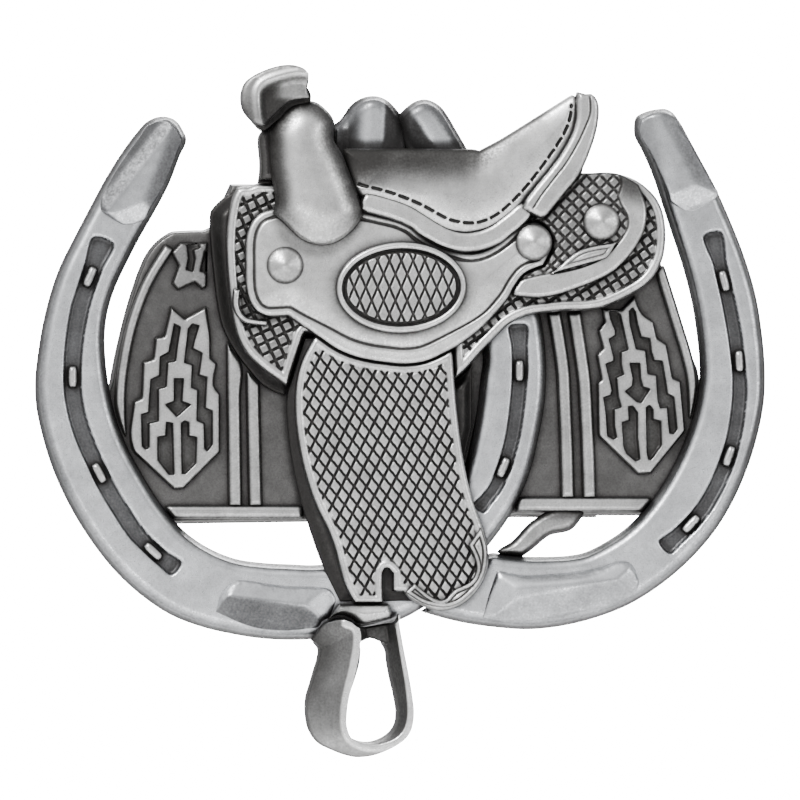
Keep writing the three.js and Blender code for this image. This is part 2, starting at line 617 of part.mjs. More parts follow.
/** The hook stud that goes through a hole in the belt's other end: a boss, a post and a head. */
function hookStud() {
  const { bossRadius, bossHeight, postRadius, headRadius } = HOOK;
  const { neck, brim, top } = HOOK_PROFILE;
  const profile = [[0, 0], [bossRadius, 0], [bossRadius, bossHeight], [postRadius, bossHeight],
    [postRadius, neck], [headRadius, brim], [headRadius, top - 0.5], [headRadius - 0.6, top],
    [0, top]];
  return new THREE.LatheGeometry(profile.map(([r, h]) => new THREE.Vector2(r, h)), 24);
}
add("hook_stud", hookStud(), FINISH.satin).position.set(HOOK.x, 0, HOOK.z);

export default part;
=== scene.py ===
import math

import bmesh
import bpy
import numpy as np
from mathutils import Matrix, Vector
from mathutils.geometry import delaunay_2d_cdt


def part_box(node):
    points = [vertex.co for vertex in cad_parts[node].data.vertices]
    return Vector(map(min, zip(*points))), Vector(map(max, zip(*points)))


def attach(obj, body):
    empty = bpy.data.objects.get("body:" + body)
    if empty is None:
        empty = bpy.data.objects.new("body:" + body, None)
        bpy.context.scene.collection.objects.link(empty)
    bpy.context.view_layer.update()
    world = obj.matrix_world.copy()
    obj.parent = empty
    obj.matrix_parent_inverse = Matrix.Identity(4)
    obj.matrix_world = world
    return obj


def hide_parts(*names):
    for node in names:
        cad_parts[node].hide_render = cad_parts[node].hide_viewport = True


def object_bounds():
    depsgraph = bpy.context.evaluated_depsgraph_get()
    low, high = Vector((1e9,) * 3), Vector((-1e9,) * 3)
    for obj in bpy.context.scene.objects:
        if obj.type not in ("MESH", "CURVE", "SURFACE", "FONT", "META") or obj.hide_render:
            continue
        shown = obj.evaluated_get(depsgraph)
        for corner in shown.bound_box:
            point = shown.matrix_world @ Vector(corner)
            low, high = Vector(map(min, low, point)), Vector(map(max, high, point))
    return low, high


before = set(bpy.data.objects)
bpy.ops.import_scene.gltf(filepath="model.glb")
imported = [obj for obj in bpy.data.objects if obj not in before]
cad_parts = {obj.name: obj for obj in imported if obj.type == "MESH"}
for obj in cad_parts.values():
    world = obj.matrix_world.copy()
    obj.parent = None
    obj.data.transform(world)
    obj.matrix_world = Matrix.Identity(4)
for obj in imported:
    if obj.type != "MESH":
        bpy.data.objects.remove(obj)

cad_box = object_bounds()
MM = 0.001  # plans are in millimetres, and so are lifts: how far a point stands before the back


# ---- camera ---------------------------------------------------------------------------------
# A long lens, a little to the buckle's left and just below its middle, so that the left-hand
# walls of each layer show.
def placed(name, data):
    """An object of this data, in the scene."""
    made = bpy.data.objects.new(name, data)
    bpy.context.scene.collection.objects.link(made)
    return made


camera_data = bpy.data.cameras.new("camera")
camera_data.lens = 400
camera = placed("camera", camera_data)
bpy.context.scene.camera = camera
aim = Vector((-0.0004, -0.0044, 0.0017))
azimuth, elevation = math.radians(-4.5), math.radians(-1.5)
towards_camera = Vector((
    math.sin(azimuth) * math.cos(elevation),
    -math.cos(azimuth) * math.cos(elevation),
    math.sin(elevation),
))
framed_width = 0.1024
camera.location = aim + towards_camera * (framed_width * camera_data.lens / camera_data.sensor_width)
camera.rotation_euler = (-towards_camera).to_track_quat("-Z", "Y").to_euler()
camera_data.clip_start, camera_data.clip_end = 0.01, 20


# ---- floor and studio light -----------------------------------------------------------------
# A plain pale floor well below the buckle, a white room, one broad soft light above on the left,
# a weaker one on the right and a low one from behind the camera.
floor_mesh = bpy.data.meshes.new("floor")
floor_z, floor_half = cad_box[0].z - 0.16, 0.5
floor_mesh.from_pydata(
    [(-floor_half, -floor_half, floor_z), (floor_half, -floor_half, floor_z),
     (floor_half, floor_half, floor_z), (-floor_half, floor_half, floor_z)], [], [(0, 1, 2, 3)])
floor = placed("floor", floor_mesh)
floor_paint = bpy.data.materials.new("floor_paint")
floor_paint.use_nodes = True
floor_paint.node_tree.nodes["Principled BSDF"].inputs["Base Color"].default_value = (0.9, 0.9, 0.9, 1)
floor_paint.node_tree.nodes["Principled BSDF"].inputs["Roughness"].default_value = 0.9
floor_mesh.materials.append(floor_paint)

world = bpy.data.worlds.new("studio")
bpy.context.scene.world = world
world.use_nodes = True
nodes, links = world.node_tree.nodes, world.node_tree.links
nodes.clear()
sky_place = nodes.new("ShaderNodeTexCoord")
sky_height = nodes.new("ShaderNodeVectorMath")
sky_height.operation = "DOT_PRODUCT"
sky_height.inputs[1].default_value = (-0.5, -0.1, 0.85)
sky_ramp = nodes.new("ShaderNodeMapRange")
for socket, value in (("From Min", -0.8), ("From Max", 0.8), ("To Min", 0.05), ("To Max", 1.55)):
    sky_ramp.inputs[socket].default_value = value
reflected = nodes.new("ShaderNodeBackground")
backdrop = nodes.new("ShaderNodeBackground")
backdrop.inputs["Strength"].default_value = 30.0
seen = nodes.new("ShaderNodeLightPath")
choice = nodes.new("ShaderNodeMixShader")
output = nodes.new("ShaderNodeOutputWorld")
links.new(sky_place.outputs["Generated"], sky_height.inputs[0])
links.new(sky_height.outputs["Value"], sky_ramp.inputs["Value"])
links.new(sky_ramp.outputs["Result"], reflected.inputs["Strength"])
links.new(seen.outputs["Is Camera Ray"], choice.inputs["Fac"])
links.new(reflected.outputs[0], choice.inputs[1])
links.new(backdrop.outputs[0], choice.inputs[2])
links.new(choice.outputs[0], output.inputs["Surface"])


def soft_light(name, place, width, height, power):
    """A rectangular soft light at a place, turned to the buckle's middle."""
    data = bpy.data.lights.new(name, "AREA")
    data.shape = "RECTANGLE"
    data.size, data.size_y, data.energy = width, height, power
    light = placed(name, data)
    light.location = place
    light.rotation_euler = (aim - Vector(place)).to_track_quat("-Z", "Y").to_euler()


soft_light("key", (-0.28, -0.42, 0.42), 0.24, 0.18, 5.2)
soft_light("fill", (0.50, -0.40, 0.10), 0.30, 0.40, 1.2)
soft_light("low", (0.0, -0.45, -0.12), 0.5, 0.06, 0.5)
soft_light("behind", (0.10, 0.50, 0.30), 0.4, 0.3, 3.0)


# ---- the blanket plate ----------------------------------------------------------------------
# The saddle blanket is the flat base plate of the buckle, cast in zinc and silver-plated, then
# blackened and rubbed back. Its field keeps most of its dark patina. Every layer is cast on it.
def front_of(node):
    """The lift of a CAD node's front, in mm."""
    return round(-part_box(node)[0].y / MM, 3)


def back_of(node):
    """The lift of a CAD node's back, in mm."""
    return round(-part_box(node)[1].y / MM, 3)


def rings_at(node, lift):
    """The rings of corner points round a CAD node's flat faces at one lift, as (x, z) in mm, the
    longest first and run anticlockwise, and holes clockwise. An edge used by one triangle only
    is on a ring."""
    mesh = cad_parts[node].data
    place = np.empty(len(mesh.vertices) * 3, np.float32)
    mesh.vertices.foreach_get("co", place)
    place = place.reshape(-1, 3)
    mesh.calc_loop_triangles()
    corners = np.empty(len(mesh.loop_triangles) * 3, np.int32)
    mesh.loop_triangles.foreach_get("vertices", corners)
    corners = corners.reshape(-1, 3)
    level = np.abs(place[corners][:, :, 1] + lift * MM).max(1) < 0.01 * MM
    points, index = np.unique(place[corners[level]].reshape(-1, 3), axis=0, return_inverse=True)
    index = index.reshape(-1, 3)
    points = points[:, [0, 2]].astype(float) / MM
    edges = {tuple(e) for side in ((0, 1), (1, 2), (2, 0)) for e in index[:, side].tolist()}
    follow = {a: b for a, b in edges if (b, a) not in edges}
    rings = []
    while follow:
        start, at = follow.popitem()
        ring = [start]
        while at != start:
            ring.append(at)
            at = follow.pop(at)
        rings.append(points[ring])
    rings.sort(key=lambda ring: -abs(signed_area(ring)))
    turned = signed_area(rings[0]) < 0
    return [ring[::-1] if turned else ring for ring in rings]


def signed_area(ring):
    """The area inside a ring, positive where it runs anticlockwise."""
    x, z = ring.T
    return 0.5 * float(np.sum(x * np.roll(z, -1) - np.roll(x, -1) * z))


def cubic(s, a, b, leave, arrive):
    """Points at the shares s of the cubic curve from a to b with these directions at its ends."""
    return ((2 * s**3 - 3 * s**2 + 1) * a + (s**3 - 2 * s**2 + s) * leave
            + (3 * s**2 - 2 * s**3) * b + (s**3 - s**2) * arrive)


def smooth_ring(ring, step=0.3, corner=38.0, straight=6.0):
    """A ring's corner points joined by cubic curves and sampled every step. The curve's direction
    at a point is the mean of the two edges' directions, each weighted by the other's length; a
    point that turns by more than corner degrees stays sharp, and an edge longer than straight
    stays straight."""
    ring = ring[np.linalg.norm(ring - np.roll(ring, 1, 0), axis=1) > 0.12]
    edge = np.roll(ring, -1, 0) - ring
    length = np.linalg.norm(edge, axis=1)
    way = edge / length[:, None]
    before, before_length = np.roll(way, 1, 0), np.roll(length, 1)
    sharp = np.degrees(np.arccos(np.clip((way * before).sum(1), -1, 1))) > corner
    mean = (before * length[:, None] + way * before_length[:, None]) / (length + before_length)[:, None]
    mean = np.where((before_length > straight)[:, None], before, mean)
    mean = np.where((length > straight)[:, None], way, mean)
    leave = np.where(sharp[:, None], way, mean)
    arrive = np.where(np.roll(sharp, -1)[:, None], way, np.roll(mean, -1, 0))
    count = np.maximum(1, np.round(length / step)).astype(int)
    which = np.repeat(np.arange(len(ring)), count)
    s = (np.arange(len(which)) - np.repeat(np.cumsum(count) - count, count)) / count[which]
    s = s[:, None]
    reach = length[which][:, None]
    onward = np.roll(ring, -1, 0)
    return cubic(s, ring[which], onward[which], reach * leave[which], reach * arrive[which])


def inset(ring, by):
    """A ring moved by a distance towards its own left, which is inwards for an outline."""
    along = np.roll(ring, -1, 0) - np.roll(ring, 1, 0)
    along /= np.maximum(np.linalg.norm(along, axis=1), 1e-9)[:, None]
    return ring + by * np.stack([-along[:, 1], along[:, 0]], 1)


def depth_inside(points, rings):
    """How far each point lies inside the rings, in mm, and negative outside: the distance to the
    nearest edge, signed by how many edges a line to the right of the point crosses."""
    a = np.vstack(rings).astype(np.float32)
    b = np.vstack([np.roll(ring, -1, 0) for ring in rings]).astype(np.float32)
    ax, az = a.T
    ex, ez = (b - a).T
    square = np.maximum(ex**2 + ez**2, 1e-12)
    depth = np.empty(len(points))
    for start in range(0, len(points), 4096):
        px = points[start:start + 4096, 0, None].astype(np.float32) - ax
        pz = points[start:start + 4096, 1, None].astype(np.float32) - az
        t = np.clip((px * ex + pz * ez) / square, 0, 1)
        gap = np.sqrt(((px - t * ex) ** 2 + (pz - t * ez) ** 2).min(1))
        crossed = ((pz < 0) != (pz < ez)) & ((px * ez < pz * ex) == (ez > 0))
        depth[start:start + 4096] = np.where(crossed.sum(1) % 2, gap, -gap)
    return depth


def fill(rings, inner, guides=()):
    """Triangles that fill the rings: their points, then the inner points, joined by a constrained
    Delaunay triangulation, without the triangles outside. Returns (points, triangles), turned
    anticlockwise."""
    loops = list(rings) + list(guides)
    starts = np.cumsum([0] + [len(loop) for loop in loops])
    edges = [
        (int(first + i), int(first + (i + 1) % len(loop)))
        for first, loop in zip(starts, loops)
        for i in range(len(loop))
    ]
    points = np.vstack(loops + [inner])
    made = delaunay_2d_cdt([Vector(p) for p in points.tolist()], edges, [], 1, 1e-6, False)
    flat = np.array([tuple(p) for p in made[0]])
    triangles = np.array(made[2])
    middle = flat[triangles].mean(1)
    on_rim = (triangles < starts[-1]).all(1)
    keep = np.ones(len(triangles), bool)
    if on_rim.any():
        keep[on_rim] = depth_inside(middle[on_rim], rings) > 0
    triangles = triangles[keep]
    a, b, c = flat[triangles].transpose(1, 0, 2)
    back_to_front = (b[:, 0] - a[:, 0]) * (c[:, 1] - a[:, 1]) < (b[:, 1] - a[:, 1]) * (c[:, 0] - a[:, 0])
    triangles[back_to_front] = triangles[back_to_front][:, ::-1]
    return flat, triangles


def triangle_mesh(name, points, triangles, patina_and_shade, flat_from=None):
    """A smooth-shaded object of triangles, with its patina and painted shade from 0, rubbed or lit
    bright, to 1, black, as a point attribute. The triangles from flat_from on are shaded flat."""
    mesh = bpy.data.meshes.new(name)
    mesh.vertices.add(len(points))
    mesh.vertices.foreach_set("co", (points * MM).astype(np.float32).ravel())
    mesh.loops.add(3 * len(triangles))
    mesh.loops.foreach_set("vertex_index", triangles.astype(np.int32).ravel())
    mesh.polygons.add(len(triangles))
    mesh.polygons.foreach_set("loop_start", np.arange(0, 3 * len(triangles), 3, dtype=np.int32))
    smooth = np.arange(len(triangles)) < (len(triangles) if flat_from is None else flat_from)
    mesh.polygons.foreach_set("use_smooth", smooth)
    mesh.update(calc_edges=True)
    mesh.validate()
    shade = mesh.attributes.new("patina_and_shade", "FLOAT", "POINT")
    shade.data.foreach_set("value", np.clip(patina_and_shade, 0, 1).astype(np.float32))
    return placed(name, mesh)


def softened(lift, triangles, held, rounds):
    """The lifts after a number of rounds in which each point off the rim moves to the mean of its
    neighbours, which takes the creases out of a crown."""
    edge = np.concatenate([triangles[:, [0, 1]], triangles[:, [1, 2]], triangles[:, [2, 0]]])
    edge = np.concatenate([edge, edge[:, ::-1]])
    count = np.bincount(edge[:, 0], minlength=len(lift))
    for _ in range(rounds):
        mean = np.bincount(edge[:, 0], lift[edge[:, 1]], len(lift)) / np.maximum(count, 1)
        lift = np.where(held, lift, mean)
    return lift


RIM_ROWS = 0.06, 0.15, 0.27  # the rows of points inside the rim, where a rounded edge turns most
RIM_CLEAR = 0.05  # no other point lies nearer to the rim
BACK_EDGE, BACK_STEP = 0.35, 2.5  # the black edge's width round a satin back, and its points' step


def cast_piece(node, surface, step=0.3, draft=0.12, foot=None, top=None, guides=(), grow=0.0,
               corner=38.0, soft=0, foot_patina=0.9, outline=None, slot="raised_silver"):
    """One cast layer in place of a CAD node. Its outline is the node's own, rounded, and its front
    is a sheet of points every step whose lift is a function of (x, z, depth inside the rim);
    surface(x, z, d) gives the lift and the patina, with painted shade where a surface adds it. The
    wall leans in by draft from the outline to the rim, and its back is flat. Guide rings are edges
    that the sheet's triangles follow. The outline is the one at the node's back, or at the lift
    top; foot is the back's lift, a number or a function of (x, z). The outline may be grown by a
    little, to close the gap to the piece next to it, and the crown softened. The back is satin, and
    the wall's foot is mostly left black. The slot names the finish too."""
    foot = back_of(node) if foot is None else foot
    if outline is None:
        rings = rings_at(node, foot if top is None else top)
        outline = [inset(smooth_ring(ring, corner=corner), -grow) for ring in rings]
    rim = [inset(ring, draft) for ring in outline]
    near = [inset(ring, draft + by) for ring in outline for by in RIM_ROWS]
    span = np.vstack(rim)
    xs = np.arange(span[:, 0].min(), span[:, 0].max(), step)
    zs = np.arange(span[:, 1].min(), span[:, 1].max(), step * 0.866)
    grid_x, grid_z = np.meshgrid(xs, zs)
    grid_x[1::2] += step / 2
    sheet = np.stack([grid_x.ravel(), grid_z.ravel()], 1)
    sheet = sheet[depth_inside(sheet, rim) > RIM_ROWS[-1] + 0.5 * step]
    if len(guides):
        sheet = sheet[np.abs(depth_inside(sheet, guides)) > 0.25 * step]
    near = np.vstack(near)
    near = near[depth_inside(near, rim) > RIM_CLEAR]
    plan, front = fill(rim, np.vstack([near, sheet]), guides)
    depth = np.maximum(depth_inside(plan, rim), 0)
    rim_count = sum(len(ring) for ring in rim)
    depth[:rim_count] = 0
    lift, patina_and_shade = surface(plan[:, 0], plan[:, 1], depth)
    if soft:
        lift = softened(lift, front, np.arange(len(plan)) < rim_count, soft)
    parts = [np.stack([plan[:, 0], -lift, plan[:, 1]], 1)]
    shades = [patina_and_shade]
    sides = [front]
    total, first = len(plan), 0
    rings_of_foot = []
    for ring in outline:
        n = len(ring)
        here = np.arange(n)
        onward = (here + 1) % n
        upper = here + first
        for share in (0.5, 1.0):
            lower = here + total
            edge_x = plan[first:first + n, 0] * (1 - share) + ring[:, 0] * share
            edge_z = plan[first:first + n, 1] * (1 - share) + ring[:, 1] * share
            foot_lift = foot(*ring.T) if callable(foot) else foot
            edge_lift = lift[first:first + n] * (1 - share) + foot_lift * share
            parts.append(np.stack([edge_x, -edge_lift, edge_z], 1))
            shades.append(patina_and_shade[first:first + n] * (1 - share) + foot_patina * share)
            sides.append(np.stack([upper, lower, lower[onward]], 1))
            sides.append(np.stack([upper, lower[onward], upper[onward]], 1))
            upper = lower
            total += n
        rings_of_foot.append(lower)
        first += n
    (west, south), (east, north) = span.min(0), span.max(0)
    inner_x, inner_z = np.meshgrid(np.arange(west, east, BACK_STEP), np.arange(south, north, BACK_STEP))
    inner = np.stack([inner_x.ravel(), inner_z.ravel()], 1)
    near = np.vstack([inset(ring, BACK_EDGE) for ring in outline])
    near = near[depth_inside(near, outline) > 0.9 * BACK_EDGE]
    inner = np.vstack([near, inner[depth_inside(inner, outline) > 2 * BACK_EDGE]])
    back = fill(outline, inner)[1]
    inner_lift = foot(*inner.T) if callable(foot) else np.full(len(inner), float(foot))
    parts.append(np.stack([inner[:, 0], -inner_lift, inner[:, 1]], 1))
    shades.append(np.full(len(inner), 0.20))
    smooth_count = sum(len(side) for side in sides)
    back_points = np.concatenate(rings_of_foot + [total + np.arange(len(inner))])
    sides.append(back_points[back][:, ::-1])
    points, triangles, patina_and_shade = np.vstack(parts), np.vstack(sides), np.concatenate(shades)
    piece = triangle_mesh(node + "_cast", points, triangles, patina_and_shade, smooth_count)
    set_in_place(piece, node, slot)


def rounded(d, radius):
    """How far a rounded rim drops below the flat at a depth d inside it: a quarter circle."""
    return radius - np.sqrt(np.maximum(radius**2 - (radius - np.clip(d, 0, radius)) ** 2, 0))


def ramp(value, start, end):
    """0 before start, 1 after end, and a smooth step between."""
    t = np.clip((value - start) / (end - start), 0, 1)
    return t * t * (3 - 2 * t)


def near_rim(d, reach):
    """1 on a piece's rim, 0 from a depth of reach on, and a smooth step between."""
    return 1 - ramp(d, 0, reach)


def round_edged(top, radius, shade, at_rim=0.0, reach=1.0):
    """A surface for cast_piece: flat but for its rounded edge, with more patina at the rim."""
    def surface(x, z, d):
        return top - rounded(d, radius), shade + at_rim * near_rim(d, reach)

    return surface


def aged_silver_group():
    """The finish that every cast piece shares: silver plate, blackened and rubbed back. Inputs are
    the patina with the painted shade, the bright and dark colours and how strong the grain is;
    outputs are the colour, roughness, metallic and the grain's height."""
    group = bpy.data.node_groups.new("aged_silver", "ShaderNodeTree")
    for side, name, kind in (
        ("INPUT", "Patina_and_shade", "Float"), ("INPUT", "Bright", "Color"),
        ("INPUT", "Dark", "Color"), ("INPUT", "Grain", "Float"),
        ("OUTPUT", "Color", "Color"), ("OUTPUT", "Roughness", "Float"),
        ("OUTPUT", "Metallic", "Float"), ("OUTPUT", "Height", "Float"),
    ):
        group.interface.new_socket(name, in_out=side, socket_type="NodeSocket" + kind)
    nodes, links = group.nodes, group.links
    given, made = nodes.new("NodeGroupInput"), nodes.new("NodeGroupOutput")
    place = nodes.new("ShaderNodeTexCoord").outputs["Object"]

    def noise(scale, detail, rough=0.55):
        cloud = nodes.new("ShaderNodeTexNoise")
        cloud.inputs["Scale"].default_value = scale
        cloud.inputs["Detail"].default_value = detail
        cloud.inputs["Roughness"].default_value = rough
        links.new(place, cloud.inputs["Vector"])
        return cloud.outputs["Fac"]

    def feed(sockets, values):
        for socket, value in zip(sockets, values):
            if isinstance(value, (int, float)):
                socket.default_value = value
            else:
                links.new(value, socket)

    def math_node(kind, *values):
        step = nodes.new("ShaderNodeMath")
        step.operation = kind
        feed(step.inputs, values)
        return step.outputs[0]

    def spread(value, low, high, to_low, to_high):
        step = nodes.new("ShaderNodeMapRange")
        step.interpolation_type = "SMOOTHSTEP"
        ends = {"From Min": low, "From Max": high, "To Min": to_low, "To Max": to_high}
        for name, number in ends.items():
            step.inputs[name].default_value = number
        links.new(value, step.inputs["Value"])
        return step.outputs["Result"]

    def blend(kind, share, one, other):
        step = nodes.new("ShaderNodeMix")
        step.data_type = "RGBA"
        step.blend_type = kind
        feed((step.inputs["Factor"], step.inputs[6], step.inputs[7]), (share, one, other))
        return step.outputs[2]

    clouds, grain, pits = noise(300, 5), noise(3400, 4), noise(9000, 2)
    # Patina gathers unevenly: clouds of a few millimetres and a fine speckle move its edge.
    uneven = math_node("MULTIPLY_ADD", clouds, 0.34, -0.16)
    speckle = math_node("MULTIPLY_ADD", grain, 0.34, -0.16)
    mask = math_node("ADD", math_node("ADD", given.outputs["Patina_and_shade"], uneven), speckle)
    mask = math_node("MINIMUM", math_node("MAXIMUM", mask, 0.0), 1.0)
    # The share of the dark colour that makes equal steps of patina equal steps of grey to the eye.
    kept = math_node("POWER", 0.035, mask)
    share = math_node("MULTIPLY", math_node("SUBTRACT", 1.0, kept), 1 / 0.965)
    colour = blend("MIX", share, given.outputs["Bright"], given.outputs["Dark"])
    tint = nodes.new("ShaderNodeCombineColor")
    value = spread(noise(1100, 6, 0.7), 0.3, 0.7, 0.90, 1.07)
    feed(tint.inputs[:3], (value, value, value))
    colour = blend("MULTIPLY", 1.0, colour, tint.outputs[0])
    links.new(colour, made.inputs["Color"])
    rough = math_node("MULTIPLY_ADD", mask, 0.24, 0.30)
    rough = math_node("ADD", rough, spread(grain, 0.3, 0.7, -0.05, 0.09))
    links.new(rough, made.inputs["Roughness"])
    links.new(spread(mask, 0.5, 1.0, 1.0, 0.72), made.inputs["Metallic"])
    height = math_node("ADD", math_node("MULTIPLY", grain, 0.7), math_node("MULTIPLY", pits, 0.3))
    links.new(math_node("MULTIPLY", height, given.outputs["Grain"]), made.inputs["Height"])
    return group


aged_silver = aged_silver_group()


finishes = {}


def silver_finish(name, bright, dark, grain=1.0):
    """One finish, kept under its slot's name: plate with the shared ageing, darkened by the piece's
    patina and painted shade, and in the occluded crevices between pieces, which is patina in the
    hollows and painted shade."""
    material = bpy.data.materials.new(name)
    material.use_nodes = True
    nodes, links = material.node_tree.nodes, material.node_tree.links
    shader = nodes["Principled BSDF"]
    finish = nodes.new("ShaderNodeGroup")
    finish.node_tree = aged_silver
    finish.inputs["Bright"].default_value = (*bright, 1)
    finish.inputs["Dark"].default_value = (*dark, 1)
    finish.inputs["Grain"].default_value = grain
    own = nodes.new("ShaderNodeAttribute")
    own.attribute_name = "patina_and_shade"
    # Darkening where ambient occlusion finds crevices: patina in the hollows, and painted shade too.
    crevice = nodes.new("ShaderNodeAmbientOcclusion")
    crevice.inputs["Distance"].default_value = 1.5 * MM
    crevice.samples = 16
    shut = nodes.new("ShaderNodeMapRange")
    for socket, value in (("From Min", 0.86), ("From Max", 0.25), ("To Min", 0.0), ("To Max", 0.9)):
        shut.inputs[socket].default_value = value
    gathered = nodes.new("ShaderNodeMath")
    gathered.operation = "ADD"
    gathered.use_clamp = True
    links.new(crevice.outputs["AO"], shut.inputs["Value"])
    links.new(own.outputs["Fac"], gathered.inputs[0])
    links.new(shut.outputs["Result"], gathered.inputs[1])
    links.new(gathered.outputs[0], finish.inputs["Patina_and_shade"])
    for one, other in (("Color", "Base Color"), ("Roughness", "Roughness"), ("Metallic", "Metallic")):
        links.new(finish.outputs[one], shader.inputs[other])
    bump = nodes.new("ShaderNodeBump")
    bump.inputs["Strength"].default_value = 0.35
    bump.inputs["Distance"].default_value = 0.02 * MM
    links.new(finish.outputs["Height"], bump.inputs["Height"])
    links.new(bump.outputs["Normal"], shader.inputs["Normal"])
    finishes[name] = material


silver_finish("raised_silver", (0.80, 0.80, 0.795), (0.022, 0.021, 0.020))
silver_finish("antiqued_silver", (0.19, 0.187, 0.184), (0.016, 0.015, 0.0145), 1.6)


def set_in_place(piece, node, slot, body="buckle"):
    """The piece takes the place of its CAD node, on that node's body, in one finish."""
    piece.data.materials.append(finishes[slot])
    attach(piece, body)
    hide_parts(node)


BLANKET_LIFT = front_of("blanket")
cast_piece("blanket", round_edged(BLANKET_LIFT, 0.35, 0.16), step=0.5, draft=0.3, slot="antiqued_silver")


# ---- the horseshoes -------------------------------------------------------------------------
# Two horseshoes, cast over the blanket plate: flat satin faces with rounded edges, and the nail
# groove of each arm cut to half its depth and left black, with its nail heads standing in it.
silver_finish("shoe_silver", (0.735, 0.75, 0.775), (0.022, 0.021, 0.021), 0.8)
SHOE_LIFT, NAIL_LIFT = front_of("left_horseshoe"), front_of("left_shoe_nail_1")
GROOVE_LIFT = SHOE_LIFT - 0.9
HOLE_HALF = 1.85, 1.1  # half the length and width of the hole round a nail head
SEAT_EDGE_Z, HEELS_REACH_X = 33.6, 9.5  # two heels stand above the one, within the other
nails = sorted(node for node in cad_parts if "_nail_" in node)


def nail_frame(ring):
    """The middle of a nail head's corner points, and the direction of its longer side."""
    edges = np.roll(ring, -1, 0) - ring
    along = edges[np.linalg.norm(edges, axis=1).argmax()]
    return (ring.max(0) + ring.min(0)) / 2, along / np.linalg.norm(along)


def without_nail_holes(ring):
    """A groove's ring without the corners of the holes that are cut for its nail heads."""
    for nail in nails:
        middle, along = nail_frame(rings_at(nail, NAIL_LIFT)[0])
        u = np.abs((ring - middle) @ along)
        v = np.abs((ring - middle) @ np.array([-along[1], along[0]]))
        ring = ring[(np.abs(u - HOLE_HALF[0]) > 0.08) | (np.abs(v - HOLE_HALF[1]) > 0.08)]
    return ring


def with_tip(ring, tip):
    """A ring with its points above the seat's edge replaced by the points of a tip, which run
    from right to left."""
    away = (ring[:, 1] > SEAT_EDGE_Z) & (np.abs(ring[:, 0]) < HEELS_REACH_X)
    first = int(np.flatnonzero(away & ~np.roll(away, 1))[0])
    return np.vstack([np.array(tip, float), np.roll(ring, -first, 0)[~np.roll(away, -first)]])


def heel_barrel(x, z, d, top, bottom, half, left_fade, right):
    """A heel behind the seat: a barrel about the line from top to bottom, with a painted highlight
    over half a width each side of it, painted shade towards the gap between the heels, darker at
    its foot, and satin grey along its outer rim. Gives the drop, the patina and painted shade, and
    how much of a point is heel."""
    (x1, z1), (x2, z2) = top, bottom
    off = ((z - z1) * (x2 - x1) - (x - x1) * (z2 - z1)) / math.hypot(x2 - x1, z2 - z1)
    there = ramp(z, 29.5, 31.5) * ramp(x, -9.5, -7.5) * ramp(-x, -12.0, -10.0)
    drop = 1.2 * np.clip((np.abs(off) - half * 0.4) / 3.0, 0, 1) ** 1.6
    dark = 0.92 * ramp(-off, half, half + left_fade) + right[0] * ramp(off, half, half + right[1])
    dark = dark + 0.8 * ramp(-z, -35.4, -34.2)
    rim = (1 - ramp(d, 0.6, 1.5)) * ramp(np.abs(x + 0.6), 1.2, 2.4) * ramp(z, 35.5, 37.5)
    return there * drop, dark * (1 - rim) + 0.30 * rim, there


def horseshoe(node, heel=None, tip=None):
    """A shoe's face: flat, rounded at the rim, and lower inside the groove's outline. A heel that
    shows behind the seat is a barrel with a round tip."""
    grooves = []
    if node != "right_horseshoe_far_heel":
        grooves = [ring for ring in rings_at(node, GROOVE_LIFT) if signed_area(ring) > 4]
        grooves = [smooth_ring(without_nail_holes(ring), corner=100) for ring in grooves]

    def surface(x, z, d):
        lift = SHOE_LIFT - rounded(d, 1.1) * 0.8
        patina_and_shade = 0.04 + 0.24 * near_rim(d, 0.9)
        if grooves:
            inside = depth_inside(np.stack([x, z], 1), grooves)
            sunk = ramp(inside, -0.05, 0.35)
            lip = np.exp(-((inside + 0.25) / 0.18) ** 2)
            lift = lift - sunk * (SHOE_LIFT - GROOVE_LIFT)
            patina_and_shade = patina_and_shade * (1 - sunk) + sunk * 0.58 - 0.04 * lip
        # A heel's barrel carries a painted highlight down its middle and painted shade at its sides.
        if heel:
            drop, dark, there = heel_barrel(x, z, d, *heel)
            lift = lift - drop
            patina_and_shade = patina_and_shade * (1 - there) + (0.03 + dark) * there
        return lift, patina_and_shade

    outline = None
    if tip:
        ring = smooth_ring(with_tip(rings_at(node, BLANKET_LIFT)[0], tip), corner=70)
        outline = [ring if grooves else inset(ring, -0.45)]
    cast_piece(node, surface, step=0.26, draft=0.55, guides=grooves, corner=70, outline=outline,
               slot="shoe_silver")


horseshoe(
    "left_horseshoe",
    ((2.2, 38.9), (5.6, 33.6), 0.7, 0.8, (0.45, 0.9)),
    [(8.4, 34.1), (7.0, 36.5), (6.0, 38.2), (5.1, 39.4), (4.1, 40.1), (3.0, 40.4), (1.9, 40.2),
     (0.9, 39.6), (0.1, 38.9), (-0.5, 38.2), (-0.6, 36.5), (-0.2, 34.5)],
)
horseshoe("right_horseshoe")
horseshoe(
    "right_horseshoe_far_heel",
    ((-3.5, 39.0), (-3.7, 34.0), 0.9, 2.6, (0.92, 0.6)),
    [(0.6, 34.5), (0.2, 36.5), (-0.4, 38.0), (-1.1, 38.9), (-2.0, 39.8), (-3.1, 40.3), (-4.3, 40.3),
     (-5.4, 39.9), (-6.4, 39.1), (-7.0, 38.2), (-7.7, 37.3), (-8.6, 36.4)],
)


